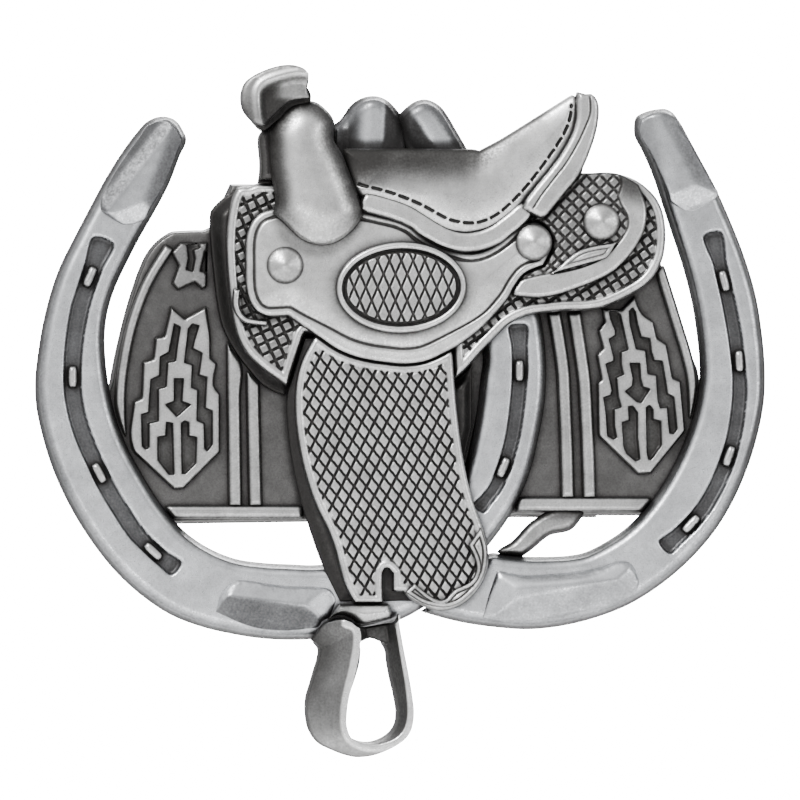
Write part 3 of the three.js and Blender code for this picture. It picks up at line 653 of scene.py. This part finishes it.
# ---- nail heads -----------------------------------------------------------------------------
# Ten clinched nail heads stand in the shoes' grooves: small oblong pillows, rubbed bright.
def oblong(ring, width, length):
    """A rounded oblong where a rectangle's corner points are, along its longer side."""
    middle, along = nail_frame(ring)
    turn = np.arange(28) * 2 * np.pi / 28
    u, v = np.cos(turn), np.sin(turn)
    u = np.sign(u) * np.abs(u) ** 0.62 * length / 2
    v = np.sign(v) * np.abs(v) ** 0.62 * width / 2
    return middle + u[:, None] * along + v[:, None] * np.array([-along[1], along[0]])


nail_surface = round_edged(NAIL_LIFT, 0.7, 0.10, 0.35, 0.2)
for nail in nails:
    head = oblong(rings_at(nail, NAIL_LIFT)[0], 1.5, 3.0)
    cast_piece(nail, nail_surface, step=0.2, draft=0.12, outline=[head])


# ---- calks ----------------------------------------------------------------------------------
# Each shoe has a heel calk and a toe calk, ground to a few facets that meet in edges. A facet is
# a tilted plane, and the calk is what lies under all of them. Each facet carries its own painted
# shade, lighter or darker as light falls on it.
def side_of(x, z, line):
    """How far each point lies to the left of a straight line, seen from its start."""
    (x1, z1), (x2, z2) = line
    return ((x2 - x1) * (z - z1) - (z2 - z1) * (x - x1)) / math.hypot(x2 - x1, z2 - z1)


def calk(node, facets, height=1.15, edge_slope=1.1, edge_shade=0.10):
    """The lift is the lowest of the facets and the flat top, and no less than the shoe's face. A
    facet is given as (line at the height of the shoe's face, slope, painted shade) and rises to the
    line's left; another rises from the calk's own rim, with edge_shade as its painted shade."""
    def surface(x, z, d):
        sides = [slope * side_of(x, z, line) for line, slope, _ in facets]
        rises = np.stack(sides + [d * edge_slope + 0.02, np.full_like(x, height)])
        # The painted shade of each facet, of the rim facet and of the flat top.
        shades = np.array([shade for _, _, shade in facets] + [edge_shade, 0.05])
        weights = np.exp(-(rises - rises.min(0)) / 0.06)
        patina_and_shade = (weights * shades[:, None]).sum(0) / weights.sum(0)
        return SHOE_LIFT + 0.02 + np.maximum(rises.min(0), 0), patina_and_shade

    cast_piece(node, surface, step=0.2, draft=0.05, corner=75, soft=2, foot_patina=0.1, slot="shoe_silver")


calk("left_heel_calk", [
    (((-30.0, 38.6), (-41.0, 24.6)), 0.34, 0.52),
    (((-36.6, 23.0), (-27.6, 26.4)), 0.24, 0.02),
    (((-31.6, 24.8), (-27.2, 36.6)), 0.27, 0.48),
], 0.6, 2.5, 0.34)
calk("right_heel_calk", [
    (((30.4, 38.6), (32.6, 27.2)), 0.34, 0.26),
    (((34.2, 25.4), (41.8, 28.4)), 0.24, 0.03),
    (((41.6, 27.4), (34.6, 40.2)), 0.27, 0.40),
], 0.6, 2.5, 0.30)
calk("left_toe_calk", [
    (((-8.0, -28.8), (-8.9, -22.0)), 0.30, 0.03),
    (((-8.4, -21.6), (-24.8, -21.0)), 0.42, 0.18),
    (((-25.4, -25.0), (-8.0, -28.2)), 0.46, 0.50),
])
calk("right_toe_calk", [
    (((30.6, -18.0), (10.8, -19.8)), 0.40, 0.10),
    (((10.0, -27.4), (30.6, -23.4)), 0.44, 0.16),
    (((29.6, -24.4), (31.2, -18.4)), 0.40, 0.05),
    (((10.8, -19.4), (10.2, -27.0)), 0.30, 0.05),
])


# ---- the blanket's woven trim ---------------------------------------------------------------
# Raised bands along the blanket's edges, four woven stripes and the girth strap: cast bars with
# rounded tops, rubbed bright, black at their feet.
TRIM_LIFT = front_of("left_rail")


def strap_end_surface(x, z, d):
    """A rounded strap, darker towards its edges and where it goes under the hem."""
    return TRIM_LIFT - rounded(d, 0.9), 0.22 + 0.40 * near_rim(d, 0.8) + 0.35 * ramp(z, -14.2, -12.8)


bar_surface = round_edged(TRIM_LIFT, 0.6, 0.14, 0.40, 0.45)
for side in ("left", "right"):
    for band, grow in (("rail", 0.2), ("hem", 0.4), ("stripe_outer", 0.2), ("stripe_inner", 0.2)):
        cast_piece(f"{side}_{band}", bar_surface, step=0.22, draft=0.12, grow=grow)
cast_piece("cinch_strap", strap_end_surface, step=0.22, draft=0.12, grow=0.35)


# ---- the blanket's medallions ---------------------------------------------------------------
# A stepped diamond in the middle of each panel, cast as one figure with its open work sunk to
# the field and left black; a smaller figure stands above the left one, under the skirt's edge.
def figure(node, voids, shade=0.12):
    """A flat figure whose voids, rings of (x, z), are sunk to the field with sloping walls."""
    rings = [np.array(void, float) for void in voids]

    def surface(x, z, d):
        inside = np.full_like(x, -9.0)
        for ring in rings:
            inside = np.maximum(inside, depth_inside(np.stack([x, z], 1), [ring]))
        sunk = ramp(inside, -0.14, 0.12)
        lift = TRIM_LIFT - rounded(d, 0.35) - 0.78 * sunk
        edge = np.exp(-(np.minimum(d, np.maximum(-inside, 0)) / 0.22) ** 2)
        return lift, shade + 0.34 * edge * (1 - sunk) + (0.67 - shade) * sunk

    cast_piece(node, surface, step=0.14, draft=0.15)


figure("left_medallion", [
    # the stepped channels, left and right
    [(-29.2, 11.4), (-28.5, 11.0), (-28.9, 8.4), (-29.1, 6.7), (-30.1, 6.5), (-30.3, 3.4), (-31.3, 3.1),
     (-31.3, -1.0), (-32.5, -1.3), (-32.5, -4.4), (-32.9, -4.6), (-33.3, -4.2), (-33.4, -0.2),
     (-32.5, 0.1), (-32.2, 4.3), (-31.1, 4.8), (-31.0, 7.2), (-29.9, 7.8), (-29.6, 9.3)],
    [(-26.9, 11.4), (-26.1, 11.2), (-26.7, 9.2), (-26.9, 8.3), (-25.7, 7.7), (-26.1, 4.9),
     (-25.1, 4.6), (-25.3, 0.7), (-24.4, 0.3), (-24.4, -4.0), (-25.0, -4.8), (-25.3, -4.5),
     (-25.4, -1.3), (-26.3, -0.9), (-26.2, 3.0), (-27.0, 3.3), (-26.9, 6.2), (-27.9, 6.5),
     (-27.6, 9.0), (-27.4, 10.8)],
    # the arrow, and the two windows under it
    [(-29.2, 4.4), (-28.1, 4.4), (-28.3, 1.5), (-27.2, 1.1), (-28.9, -0.4), (-30.3, 1.1), (-29.2, 1.5)],
    [(-30.2, -1.2), (-29.5, -1.3), (-29.3, -7.8), (-29.9, -7.8), (-31.3, -6.0), (-31.3, -3.1),
     (-30.3, -2.9)],
    [(-28.3, -1.3), (-27.9, -1.0), (-27.4, -1.2), (-27.4, -2.9), (-26.4, -3.1), (-26.5, -6.4),
     (-27.8, -7.7), (-28.2, -7.7)],
])
figure("right_medallion", [
    [(26.7, 13.2), (27.4, 13.3), (28.1, 12.8), (29.1, 8.3), (28.2, 8.0), (28.2, 6.4), (28.5, 5.1),
     (27.6, 4.7), (27.8, 2.4), (28.2, 0.9), (27.3, 0.6), (27.3, -1.4), (27.6, -3.0), (27.2, -3.2),
     (26.5, -2.8), (26.3, 0.2), (26.0, 2.1), (26.9, 2.4), (27.1, 3.0), (26.3, 6.4), (27.3, 6.8),
     (27.3, 7.4), (26.7, 9.6), (27.5, 10.1), (27.5, 10.7), (26.9, 12.2)],
    [(29.3, 13.2), (29.7, 13.6), (30.0, 13.2), (30.3, 11.6), (30.8, 9.9), (31.9, 9.7), (32.1, 8.0),
     (32.5, 6.9), (33.5, 6.8), (34.2, 2.6), (35.0, 2.2), (35.4, -1.9), (35.0, -2.5), (34.5, -2.4),
     (34.2, 0.9), (33.3, 0.8), (33.0, 1.8), (32.8, 5.0), (31.7, 5.2), (31.4, 8.2), (30.2, 8.4),
     (29.4, 11.6)],
    [(29.4, 6.5), (30.6, 6.5), (30.7, 4.6), (31.0, 3.5), (31.9, 3.2), (30.8, 1.5), (30.3, 1.6),
     (28.8, 2.9), (29.7, 3.6), (29.8, 4.6)],
    [(29.2, 0.9), (29.7, 1.0), (30.3, 0.2), (30.3, -3.0), (30.6, -5.8), (30.1, -6.0), (28.9, -5.0),
     (28.6, -4.2), (28.4, -1.1), (29.3, -0.8)],
    [(31.5, 0.8), (31.9, 1.1), (32.3, 0.6), (32.3, -0.7), (33.3, -0.9), (33.4, -4.0), (32.1, -5.8),
     (31.8, -5.8), (31.6, -5.0)],
])
figure("left_top_motif", [
    [(-26.1, 21.9), (-27.6, 21.5), (-27.4, 19.8), (-27.7, 18.4), (-26.9, 18.2), (-26.6, 19.8),
     (-26.8, 20.9), (-26.0, 21.2)],
    [(-25.3, 20.9), (-25.9, 18.2), (-25.1, 18.0), (-24.5, 20.7)],
], 0.34)


# ---- the layer under the leathers -----------------------------------------------------------
# The tree's two pads, the stirrup leather and the fender's lining lie under the tooled leathers.
# Only their edges show, as a dark wall that slopes from the blanket up to the leather's rim; its
# dark is patina and painted shade on the wall.
def slope_surface(node, fall, reach):
    """A flat top that falls away over its last stretch before the rim."""
    def surface(x, z, d):
        return front_of(node) - fall * near_rim(d, reach), 0.50 + 0.25 * near_rim(d, reach)

    return surface


for node, fall, reach in (
    ("front_tree_pad", 1.7, 1.7),
    ("rear_tree_pad", 0.8, 0.7),
    ("stirrup_leather", 1.2, 1.2),
    ("fender_lining", 0.45, 1.6),
):
    cast_piece(node, slope_surface(node, fall, reach), step=0.4, draft=0.15, slot="antiqued_silver")


def pommel_surface(x, z, d):
    """A rounded rim, rubbed bright, about a face left black."""
    return front_of("pommel_plate") - rounded(d, 0.8), 0.30 + 0.6 * ramp(d, 0.75, 1.0)


cast_piece("pommel_plate", pommel_surface, step=0.3, draft=0.15, grow=0.1, slot="antiqued_silver")


# ---- skirts ---------------------------------------------------------------------------------
# The skirts are the lowest leathers: a bead runs round each rim, then a groove, and inside it
# the leather is tooled with small squares, in cut lines with raised cells between.
def nearest_line(u, v):
    """The lesser of the distances from u and from v to a whole number."""
    return np.minimum(np.abs(u - np.round(u)), np.abs(v - np.round(v)))


def squares(x, z, pitch, turn):
    """The distance to the nearest line of a square net with this pitch, turned by an angle."""
    u = (x * math.cos(turn) + z * math.sin(turn)) / pitch
    v = (z * math.cos(turn) - x * math.sin(turn)) / pitch
    return pitch * nearest_line(u, v)


def beaded(d, width, top, fall):
    """A rim bead: half a rounded bar of this width between the rim and the field, which lies
    lower by fall. Gives the lift and how much of a point is field."""
    across = np.clip(d / width, 0, 1)
    bead = np.sqrt(np.maximum(1 - (2 * across - 1) ** 2, 0))
    inner = ramp(d, width * 0.8, width * 1.1)
    return top - fall + fall * bead * (1 - inner), inner


def skirt(node, pitch, turn, bead):
    """One skirt in place of its CAD node."""
    def surface(x, z, d):
        lift, field = beaded(d, bead, front_of(node), 0.65)
        cell = ramp(squares(x, z, pitch, turn), 0.06, 0.24)
        lift = lift + field * 0.42 * cell
        return lift, (1 - field) * (0.05 + 0.3 * near_rim(d, 0.25)) + field * (0.72 - 0.44 * cell)

    cast_piece(node, surface, step=0.16, draft=0.12)


skirt("front_skirt", pitch=1.32, turn=0.45, bead=1.25)
skirt("rear_skirt", pitch=1.3, turn=0.6, bead=1.3)


# ---- jockeys --------------------------------------------------------------------------------
# The seat jockey is the plain leather under the seat, with a line cut round it, and the rear
# jockey lies behind the cantle, tooled inside a broad plain band, with a leaf over it.
def cut_line(gap, width):
    """How deep in a cut line a point lies: a bell curve across the line, 1 in its middle."""
    return np.exp(-((gap / width) ** 2))


def seat_jockey_surface(x, z, d):
    """Plain leather, softly rounded, with a line cut 1 mm inside its rim and 2 mm at its foot."""
    from_rim = 1.0 + 0.9 * ramp(-z, -13.5, -9.5)
    line = cut_line(d - from_rim, 0.18)
    soft = 0.35 * near_rim(d, 4.0)
    to_oval = np.hypot((x + 0.45) / 8.4, (z - 16.0) / 5.9) - 1
    fork_foot = np.hypot((x + 11.2) / 5.3, (z - 26.2) / 5.6) - 1
    shadow = 0.22 * ramp(-to_oval, -0.22, 0) + 0.26 * ramp(-fork_foot, -0.25, 0)
    lift = front_of("seat_jockey") - rounded(d, 0.5) * 0.7 - soft - 0.28 * line
    return lift, 0.03 + 0.9 * line + shadow + 0.25 * near_rim(d, 0.3)


cast_piece("seat_jockey", seat_jockey_surface, step=0.17, draft=0.12, grow=0.06)


tooled_field = smooth_ring(np.array([
    (12.5, 16.4), (15.0, 17.1), (18.5, 17.9), (21.0, 18.3), (23.5, 19.0), (25.2, 19.9), (26.6, 21.0),
    (27.9, 22.4), (28.7, 24.0), (28.6, 25.4), (27.8, 26.8), (27.4, 27.8), (27.8, 29.0), (27.4, 32.0),
    (12.5, 32.0),
]))


def rear_jockey_surface(x, z, d):
    """A plain band along the outer rim, then a cut line, and inside it a net of squares; the band
    takes painted shade towards its upper right, where it goes behind the cantle.
    """
    inside = depth_inside(np.stack([x, z], 1), [tooled_field])
    field = ramp(inside, 0.0, 0.2)
    cell = ramp(squares(x, z, 1.27, math.pi / 4), 0.06, 0.24)
    line = cut_line(inside, 0.14)
    lift = front_of("rear_jockey") - rounded(d, 0.5) * 0.7
    lift = lift - 0.2 * line - 0.38 * field + 0.3 * field * cell
    # Painted shade on the band towards its upper right, behind the cantle.
    behind = 0.62 * ramp(z + 0.3 * x, 34.5, 38.5)
    patina_and_shade = 0.04 + 0.8 * line * (1 - field) + field * (0.72 - 0.46 * cell)
    return lift, patina_and_shade + behind * (1 - field) + 0.2 * near_rim(d, 0.3)


cast_piece("rear_jockey", rear_jockey_surface, step=0.16, draft=0.1, grow=0.2)


def leaf_surface(x, z, d):
    """A leaf with a raised midrib and a cut line inside its rim."""
    line = cut_line(d - 0.5, 0.12)
    return front_of("rear_jockey_leaf") - rounded(d, 0.3) - 0.15 * line, 0.05 + 0.6 * line


cast_piece("rear_jockey_leaf", leaf_surface, step=0.15, draft=0.12)


# ---- seat, welt and cantle ------------------------------------------------------------------
# The seat is one smooth dome with a row of stitches sunk along its lower edge. A welt runs under
# it, and the cantle's binding goes up behind it with a line cut in it.
def smooth_line(points, parts=6):
    """A curved line through the points: cubic pieces, each point's direction the mean of its
    neighbours', cut into parts."""
    points = np.array(points, float)
    way = np.gradient(points, axis=0)
    s = (np.arange(parts) / parts)[None, :, None]
    curve = cubic(s, points[:-1, None], points[1:, None], way[:-1, None], way[1:, None])
    return np.vstack([curve.reshape(-1, 2), points[-1:]])


def nearest_on(x, z, line):
    """Each point's distance to a line of straight edges, and how far along the line it is nearest."""
    line = np.array(line, float)
    a, along = line[:-1], np.diff(line, axis=0)
    length = np.hypot(*along.T)
    px, pz = x[:, None] - a[:, 0], z[:, None] - a[:, 1]
    t = np.clip((px * along[:, 0] + pz * along[:, 1]) / length**2, 0, 1)
    gap = np.hypot(px - t * along[:, 0], pz - t * along[:, 1])
    which = gap.argmin(1)
    at = np.arange(len(x)), which
    return gap[at], (np.cumsum(length) - length)[which] + t[at] * length[which]


seat_stitches = smooth_line([
    (-6.2, 29.3), (-5.3, 29.0), (-2.0, 28.2), (1.9, 26.7), (5.3, 24.9), (7.2, 24.4), (9.0, 24.3),
    (10.7, 24.8), (12.5, 25.9), (15.1, 28.4), (17.5, 31.4), (19.6, 34.4), (20.6, 36.1),
    (21.2, 37.8), (21.4, 39.4),
])
STITCH_PITCH, STITCH_LENGTH = 1.8, 1.2


def seat_surface(x, z, d):
    """A dome that rises over 5 mm from the rim, its upper edge turned away and darkened with painted
    shade, with the stitches sunk 0.3 mm; painted shade also darkens it beside the fork and from the
    stitches up to its upper rim."""
    gap, run = nearest_on(x, z, seat_stitches)
    beyond = np.abs(run % STITCH_PITCH - STITCH_PITCH / 2) - STITCH_LENGTH / 2
    stitch = ramp(-np.hypot(gap, np.maximum(beyond, 0) * 1.5), -0.27, -0.10)
    out = 1 - np.clip(d / 5.0, 0, 1)
    dome = front_of("seat") - 1.15 * (1 - np.sqrt(1 - out**2)) - 0.5 * rounded(d, 0.5)
    # Painted shade on the turned-away upper edge, beside the fork and from the stitches up to the rim.
    upper = ramp(z, 27.7, 32.4) * ramp(-x, -13.5, -7.0)
    dome = dome - 0.7 * upper
    by_fork = 0.30 * ramp(-x, 1.0, 6.0) * ramp(z, 28.6, 29.6)
    by_edge = 0.34 * ramp(-d, -3.4, -0.2) * ramp(gap, 2.0, 4.0)
    patina_and_shade = 0.02 + 0.84 * upper + by_fork + by_edge * (1 - upper) + 0.2 * near_rim(d, 0.3)
    return dome - 0.30 * stitch, patina_and_shade + 0.85 * stitch


cast_piece("seat", seat_surface, step=0.13, draft=0.08, grow=0.36)


welt_surface = round_edged(front_of("seat_welt"), 0.6, 0.03, 0.4, 0.25)
cast_piece("seat_welt", welt_surface, step=0.2, draft=0.08, grow=0.7)

cantle_line = smooth_line([
    (16.4, 26.2), (17.5, 27.9), (19.1, 30.0), (20.5, 31.8), (21.9, 34.1), (23.0, 36.4),
    (23.7, 38.3), (23.7, 40.4),
])


def binding_surface(x, z, d):
    """A round binding with a line cut along it."""
    line = cut_line(nearest_on(x, z, cantle_line)[0], 0.13)
    lift = front_of("cantle_binding") - rounded(d, 0.75) - 0.2 * line
    return lift, 0.04 + 0.8 * line + 0.4 * near_rim(d, 0.25)


BINDING_GROWTH = 0.3, 0.7  # all round, and as much more on the side that meets the seat
binding_ring = smooth_ring(rings_at("cantle_binding", back_of("cantle_binding"))[0])
outward_x = (inset(binding_ring, -1.0) - binding_ring)[:, :1]
growth = BINDING_GROWTH[0] + BINDING_GROWTH[1] * ramp(-outward_x, 0.2, 0.6)
binding_outline = [inset(binding_ring, -growth)]
cast_piece("cantle_binding", binding_surface, step=0.14, draft=0.08, outline=binding_outline)


# ---- fork and horn --------------------------------------------------------------------------
# The fork is a full barrel over the pommel, the highest leather but one. The horn stands on it: a
# short neck left dark, under a cap like a thick disc turned away, with a bright edge to its rim.
def fork_surface(x, z, d):
    """A barrel: half an ellipse across, 5 mm from rim to crown, with painted shade towards its rim
    and more on its left side.
    """
    across = 1 - np.clip(d / 4.6, 0, 1)
    # Painted shade on the left side and on the sides turned from the light.
    left = ramp(-x, 14.0, 16.6) * ramp(z, 24.5, 28.0)
    sides = ramp(-d, -2.6, -0.1) * ramp(z, 22.0, 27.5)
    return front_of("fork") - 2.4 * (1 - np.sqrt(1 - across**2)), 0.06 + 0.66 * sides + 0.25 * left


cast_piece("fork", fork_surface, step=0.2, draft=0.12, grow=0.12, corner=80, soft=40)

horn_hollow = smooth_line([
    (-18.2, 36.0), (-18.5, 37.4), (-18.7, 39.2), (-18.7, 40.6), (-18.1, 41.6), (-16.8, 42.2),
    (-14.8, 42.75), (-13.4, 42.9), (-12.0, 42.7),
])
horn_hollow = np.vstack([horn_hollow, [(-11.4, 39.6), (-15.0, 37.6)]])


def horn_cap_surface(x, z, d):
    """The cap's side turns away over 2.4 mm outside a raised edge 0.6 mm wide, with painted shade on
    the side that turns away and towards the cap's bottom; inside the edge it falls away to the neck."""
    inside = depth_inside(np.stack([x, z], 1), [horn_hollow])
    out = np.maximum(-inside - 0.75, 0)
    turned = 0.9 * (1 - np.sqrt(1 - np.clip(out / 2.6, 0, 1) ** 2))
    lift = front_of("horn_cap") - turned - 0.4 * rounded(d, 0.4)
    lift = lift - 0.22 * ramp(out, 0.0, 0.25)
    sunk = ramp(inside, -0.25, 0.9)
    neck = 0.92 - 0.66 * ramp(x, -17.4, -15.4) * ramp(inside, 0.1, 0.7) * ramp(z, 39.4, 40.4)
    # Painted shade on the cap's turned-away side and towards its bottom.
    cap = 0.03 + 0.30 * ramp(out, 0.0, 0.5) + 0.22 * ramp(-z, -41.5, -37.5)
    return lift - 1.2 * sunk, cap * (1 - sunk) + neck * sunk


cast_piece("horn_cap", horn_cap_surface, step=0.14, draft=0.12, soft=4)
cast_piece("horn_neck", slope_surface("horn_neck", 0.8, 1.0), step=0.3, draft=0.05, grow=0.55,
           slot="antiqued_silver")


# ---- conchos --------------------------------------------------------------------------------
# Three round conchos with coned faces, and one oval concho: a round bead about a panel cut with a
# net of diamonds. All are cast on the leathers.
def concho(node):
    """A cone with a round tip, on a low edge."""
    def surface(x, z, d):
        out = np.clip(1 - d / 2.3, 0, 1)
        rise = (1.0 - np.hypot(out, 0.22)) / (1.0 - 0.22)
        return back_of(node) + 0.22 + 0.93 * np.maximum(rise, 0), 0.15 + 0.5 * near_rim(d, 0.5)

    cast_piece(node, surface, step=0.14, draft=0.05, soft=3)


concho("front_concho")
concho("middle_concho")
concho("rear_concho")


oval_rim_surface = round_edged(front_of("oval_concho_rim"), 0.45, 0.02, 0.5, 0.2)
cast_piece("oval_concho_rim", oval_rim_surface, step=0.2, draft=0.08)


def diamonds(x, z, width, height):
    """The distance to the nearest line of a diamond net: lines where x/width + z/height or
    x/width - z/height is a whole number."""
    u, v = x / width + z / height, x / width - z / height
    spacing = 1 / math.hypot(1 / width, 1 / height)
    return spacing * nearest_line(u, v)


def oval_panel_surface(x, z, d):
    """Raised diamonds, their grooves 0.3 mm wide."""
    cell = ramp(diamonds(x + 0.45, z - 16.0, 1.514, 3.40), 0.05, 0.20)
    cell = cell * ramp(d, 0.15, 0.3)
    return front_of("oval_concho_panel") - 0.32 + 0.30 * cell, 0.68 - 0.58 * cell


cast_piece("oval_concho_panel", oval_panel_surface, step=0.12, draft=0.05, grow=0.15)


# ---- rigging dee ----------------------------------------------------------------------------
# A plain round ring of the rigging shows as a hook at the jockey's front corner.
dee_surface = round_edged(front_of("rigging_dee"), 0.48, 0.03, 0.4, 0.2)
cast_piece("rigging_dee", dee_surface, step=0.18, draft=0.08)


# ---- fender ---------------------------------------------------------------------------------
# The long leather that hangs from the seat: a bead all round, also round the slot for the
# stirrup's strap, and rows of raised diamonds inside. A plain plate covers its lower corner.
FENDER_DIAMOND_WIDTH, FENDER_DIAMOND_HEIGHT, FENDER_LEAN = 1.6, 2.35, 0.17


def fender_surface(x, z, d):
    """A bead round the rim and raised diamonds inside it, their rows leaning to the left."""
    lift, field = beaded(d, 1.1, front_of("fender"), 0.58)
    net = diamonds(x + FENDER_LEAN * z, z, FENDER_DIAMOND_WIDTH, FENDER_DIAMOND_HEIGHT)
    cell = ramp(net, 0.02, 0.21)
    lift = lift + field * 0.48 * cell
    return lift, (1 - field) * (0.05 + 0.3 * near_rim(d, 0.2)) + field * (0.66 - 0.54 * cell)


cast_piece("fender", fender_surface, step=0.15, draft=0.1, grow=0.3)


def corner_plate_surface(x, z, d):
    """A raised edge, a cut line inside it, and a second line 0.9 mm in."""
    line = cut_line(d - 0.48, 0.12) + cut_line(d - 1.05, 0.12)
    lift = front_of("fender_corner_plate") - 0.6 * rounded(d, 0.3) - 0.25 * line
    return lift, 0.03 + 0.75 * line + 0.3 * near_rim(d, 0.2)


cast_piece("fender_corner_plate", corner_plate_surface, step=0.13, draft=0.1)


# ---- stirrup --------------------------------------------------------------------------------
# The stirrup hangs from a strap below the fender. Its front edge is a bright band round the
# opening; its left cheek slopes back from the band, and its right cheek shows its inner wall.
def strap_surface(x, z, d):
    """A strap rounded over 1.3 mm."""
    patina_and_shade = 0.05 + 0.35 * ramp(-x, 4.8, 8.0) + 0.3 * near_rim(d, 0.3)
    return front_of("hobble_strap") - rounded(d, 1.3) * 0.8, patina_and_shade


cast_piece("hobble_strap", strap_surface, step=0.2, draft=0.15)

stirrup_band = smooth_line([
    (-7.6, -26.9), (-6.3, -27.6), (-6.1, -29.5), (-6.6, -32.5), (-7.4, -35.8), (-7.8, -38.6),
    (-7.5, -40.9), (-6.2, -42.3), (-3.9, -42.8), (-1.4, -42.2), (0.2, -40.8), (0.8, -38.6),
    (0.6, -35.2), (-0.1, -31.0), (-0.6, -27.8), (-0.9, -25.6),
])
BAND_HALF, STIRRUP_STEP_Z = 0.52, -29.3


def stirrup_foot(x, z):
    """The back lies on the shoe above the step and reaches down behind it below."""
    return np.where(z > STIRRUP_STEP_Z, SHOE_LIFT, back_of("stirrup"))


def stirrup_surface(x, z, d):
    """A flat band along the line. Outside it the cheek slopes back, with painted shade darker towards
    its top and its left edge; inside it the wall falls steeply and is left dark."""
    gap = nearest_on(x, z, stirrup_band)[0]
    inner = depth_inside(np.stack([x, z], 1), [stirrup_band]) > 0
    past = np.maximum(gap - BAND_HALF, 0)
    fall = 0.5 * rounded(np.maximum(BAND_HALF - gap, 0), 0.3) + past * np.where(inner, 2.6, 0.62)
    lift = front_of("stirrup") - fall
    lift = np.maximum(lift, stirrup_foot(x, z) + 0.5)
    # Painted shade on the cheek that slopes back, darker towards its top and its left edge.
    cheek = 0.24 + 0.24 * ramp(z, -42.5, -35.0) + 0.26 * ramp(gap, 1.5, 4.5) * ramp(z, -40.0, -33.0)
    beside = ramp(gap, BAND_HALF - 0.08, BAND_HALF + 0.12)
    return lift, beside * np.where(inner, 0.72, cheek)


cast_piece("stirrup", stirrup_surface, step=0.15, draft=0.25, foot=stirrup_foot,
           top=front_of("stirrup"), corner=60)


# ---- the fastening behind -------------------------------------------------------------------
# A nickel-plated steel bail hangs between two cast lugs and takes the belt's end; the hook stud
# opposite goes through a hole in the other end. Edges are tumbled round.
silver_finish("fitting_nickel", (0.52, 0.52, 0.51), (0.06, 0.058, 0.055), 0.5)


def rounded_copy(node, body, radius):
    """A copy of a CAD node with its points merged, its flats joined and its edges rounded."""
    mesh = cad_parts[node].data.copy()
    mesh.materials.clear()
    form = bmesh.new()
    form.from_mesh(mesh)
    bmesh.ops.remove_doubles(form, verts=form.verts, dist=0.01 * MM)
    bmesh.ops.dissolve_limit(form, angle_limit=math.radians(1), verts=form.verts, edges=form.edges)
    for face in form.faces:
        face.smooth = True
    form.to_mesh(mesh)
    form.free()
    piece = placed(node + "_rounded", mesh)
    rounding = piece.modifiers.new("rounding", "BEVEL")
    rounding.width, rounding.segments = radius * MM, 3
    rounding.limit_method, rounding.angle_limit = "ANGLE", math.radians(40)
    rounding.harden_normals = True
    set_in_place(piece, node, "fitting_nickel", body)


rounded_copy("bail", "bail", 0.5)
rounded_copy("lower_lug", "buckle", 0.45)
rounded_copy("upper_lug", "buckle", 0.45)


def turned_piece(node, centre, profile, steps=72):
    """A closed solid turned about a line from front to back through the centre. The profile's
    (radius, y) points run from the axis at the front to the axis at the back."""
    radius, y = np.array(profile[1:-1], float).T
    angle = np.arange(steps) * 2 * np.pi / steps
    around = np.stack([np.cos(angle), np.sin(angle)], 1)
    points = np.concatenate([
        np.stack([centre[0] + radius[:, None] * around[:, 0],
                  np.repeat(y[:, None], steps, 1),
                  centre[1] + radius[:, None] * around[:, 1]], 2).reshape(-1, 3),
        [(centre[0], profile[0][1], centre[1]), (centre[0], profile[-1][1], centre[1])],
    ])
    here = np.arange(steps)
    onward = (here + 1) % steps
    front, back = len(points) - 2, len(points) - 1
    last = (len(radius) - 1) * steps
    sides = [np.stack([here, onward, np.full(steps, front)], 1),
             np.stack([here + last, np.full(steps, back), onward + last], 1)]
    for row in range(len(radius) - 1):
        a, b = here + row * steps, onward + row * steps
        sides += [np.stack([a, a + steps, b], 1), np.stack([b, a + steps, b + steps], 1)]
    return triangle_mesh(node + "_turned", points, np.vstack(sides), np.full(len(points), 0.05))


def arc(centre_r, centre_y, radius, start, end, count=7):
    """Points round part of a circle, from one angle to another in degrees."""
    angle = np.radians(np.linspace(start, end, count))
    return list(zip(centre_r + radius * np.cos(angle), centre_y + radius * np.sin(angle)))


stud_profile = [(0, 0), (3.9, 0), (4.0, 0.1)] + arc(3.7, 0.7, 0.3, 0, 90, 5)
stud_profile += arc(2.0, 1.5, 0.5, -90, -180, 5) + [(1.5, 3.9)] + arc(1.9, 3.9, 0.4, 180, 90, 5)
stud_profile += [(2.9, 5.1)] + arc(2.85, 5.65, 0.35, -80, 60, 8) + arc(1.9, 4.6, 2.0, 48, 90, 5)
stud_profile += [(0, 6.6)]
piece = turned_piece("hook_stud", (-28.0, 8.75), stud_profile)
set_in_place(piece, "hook_stud", "fitting_nickel")
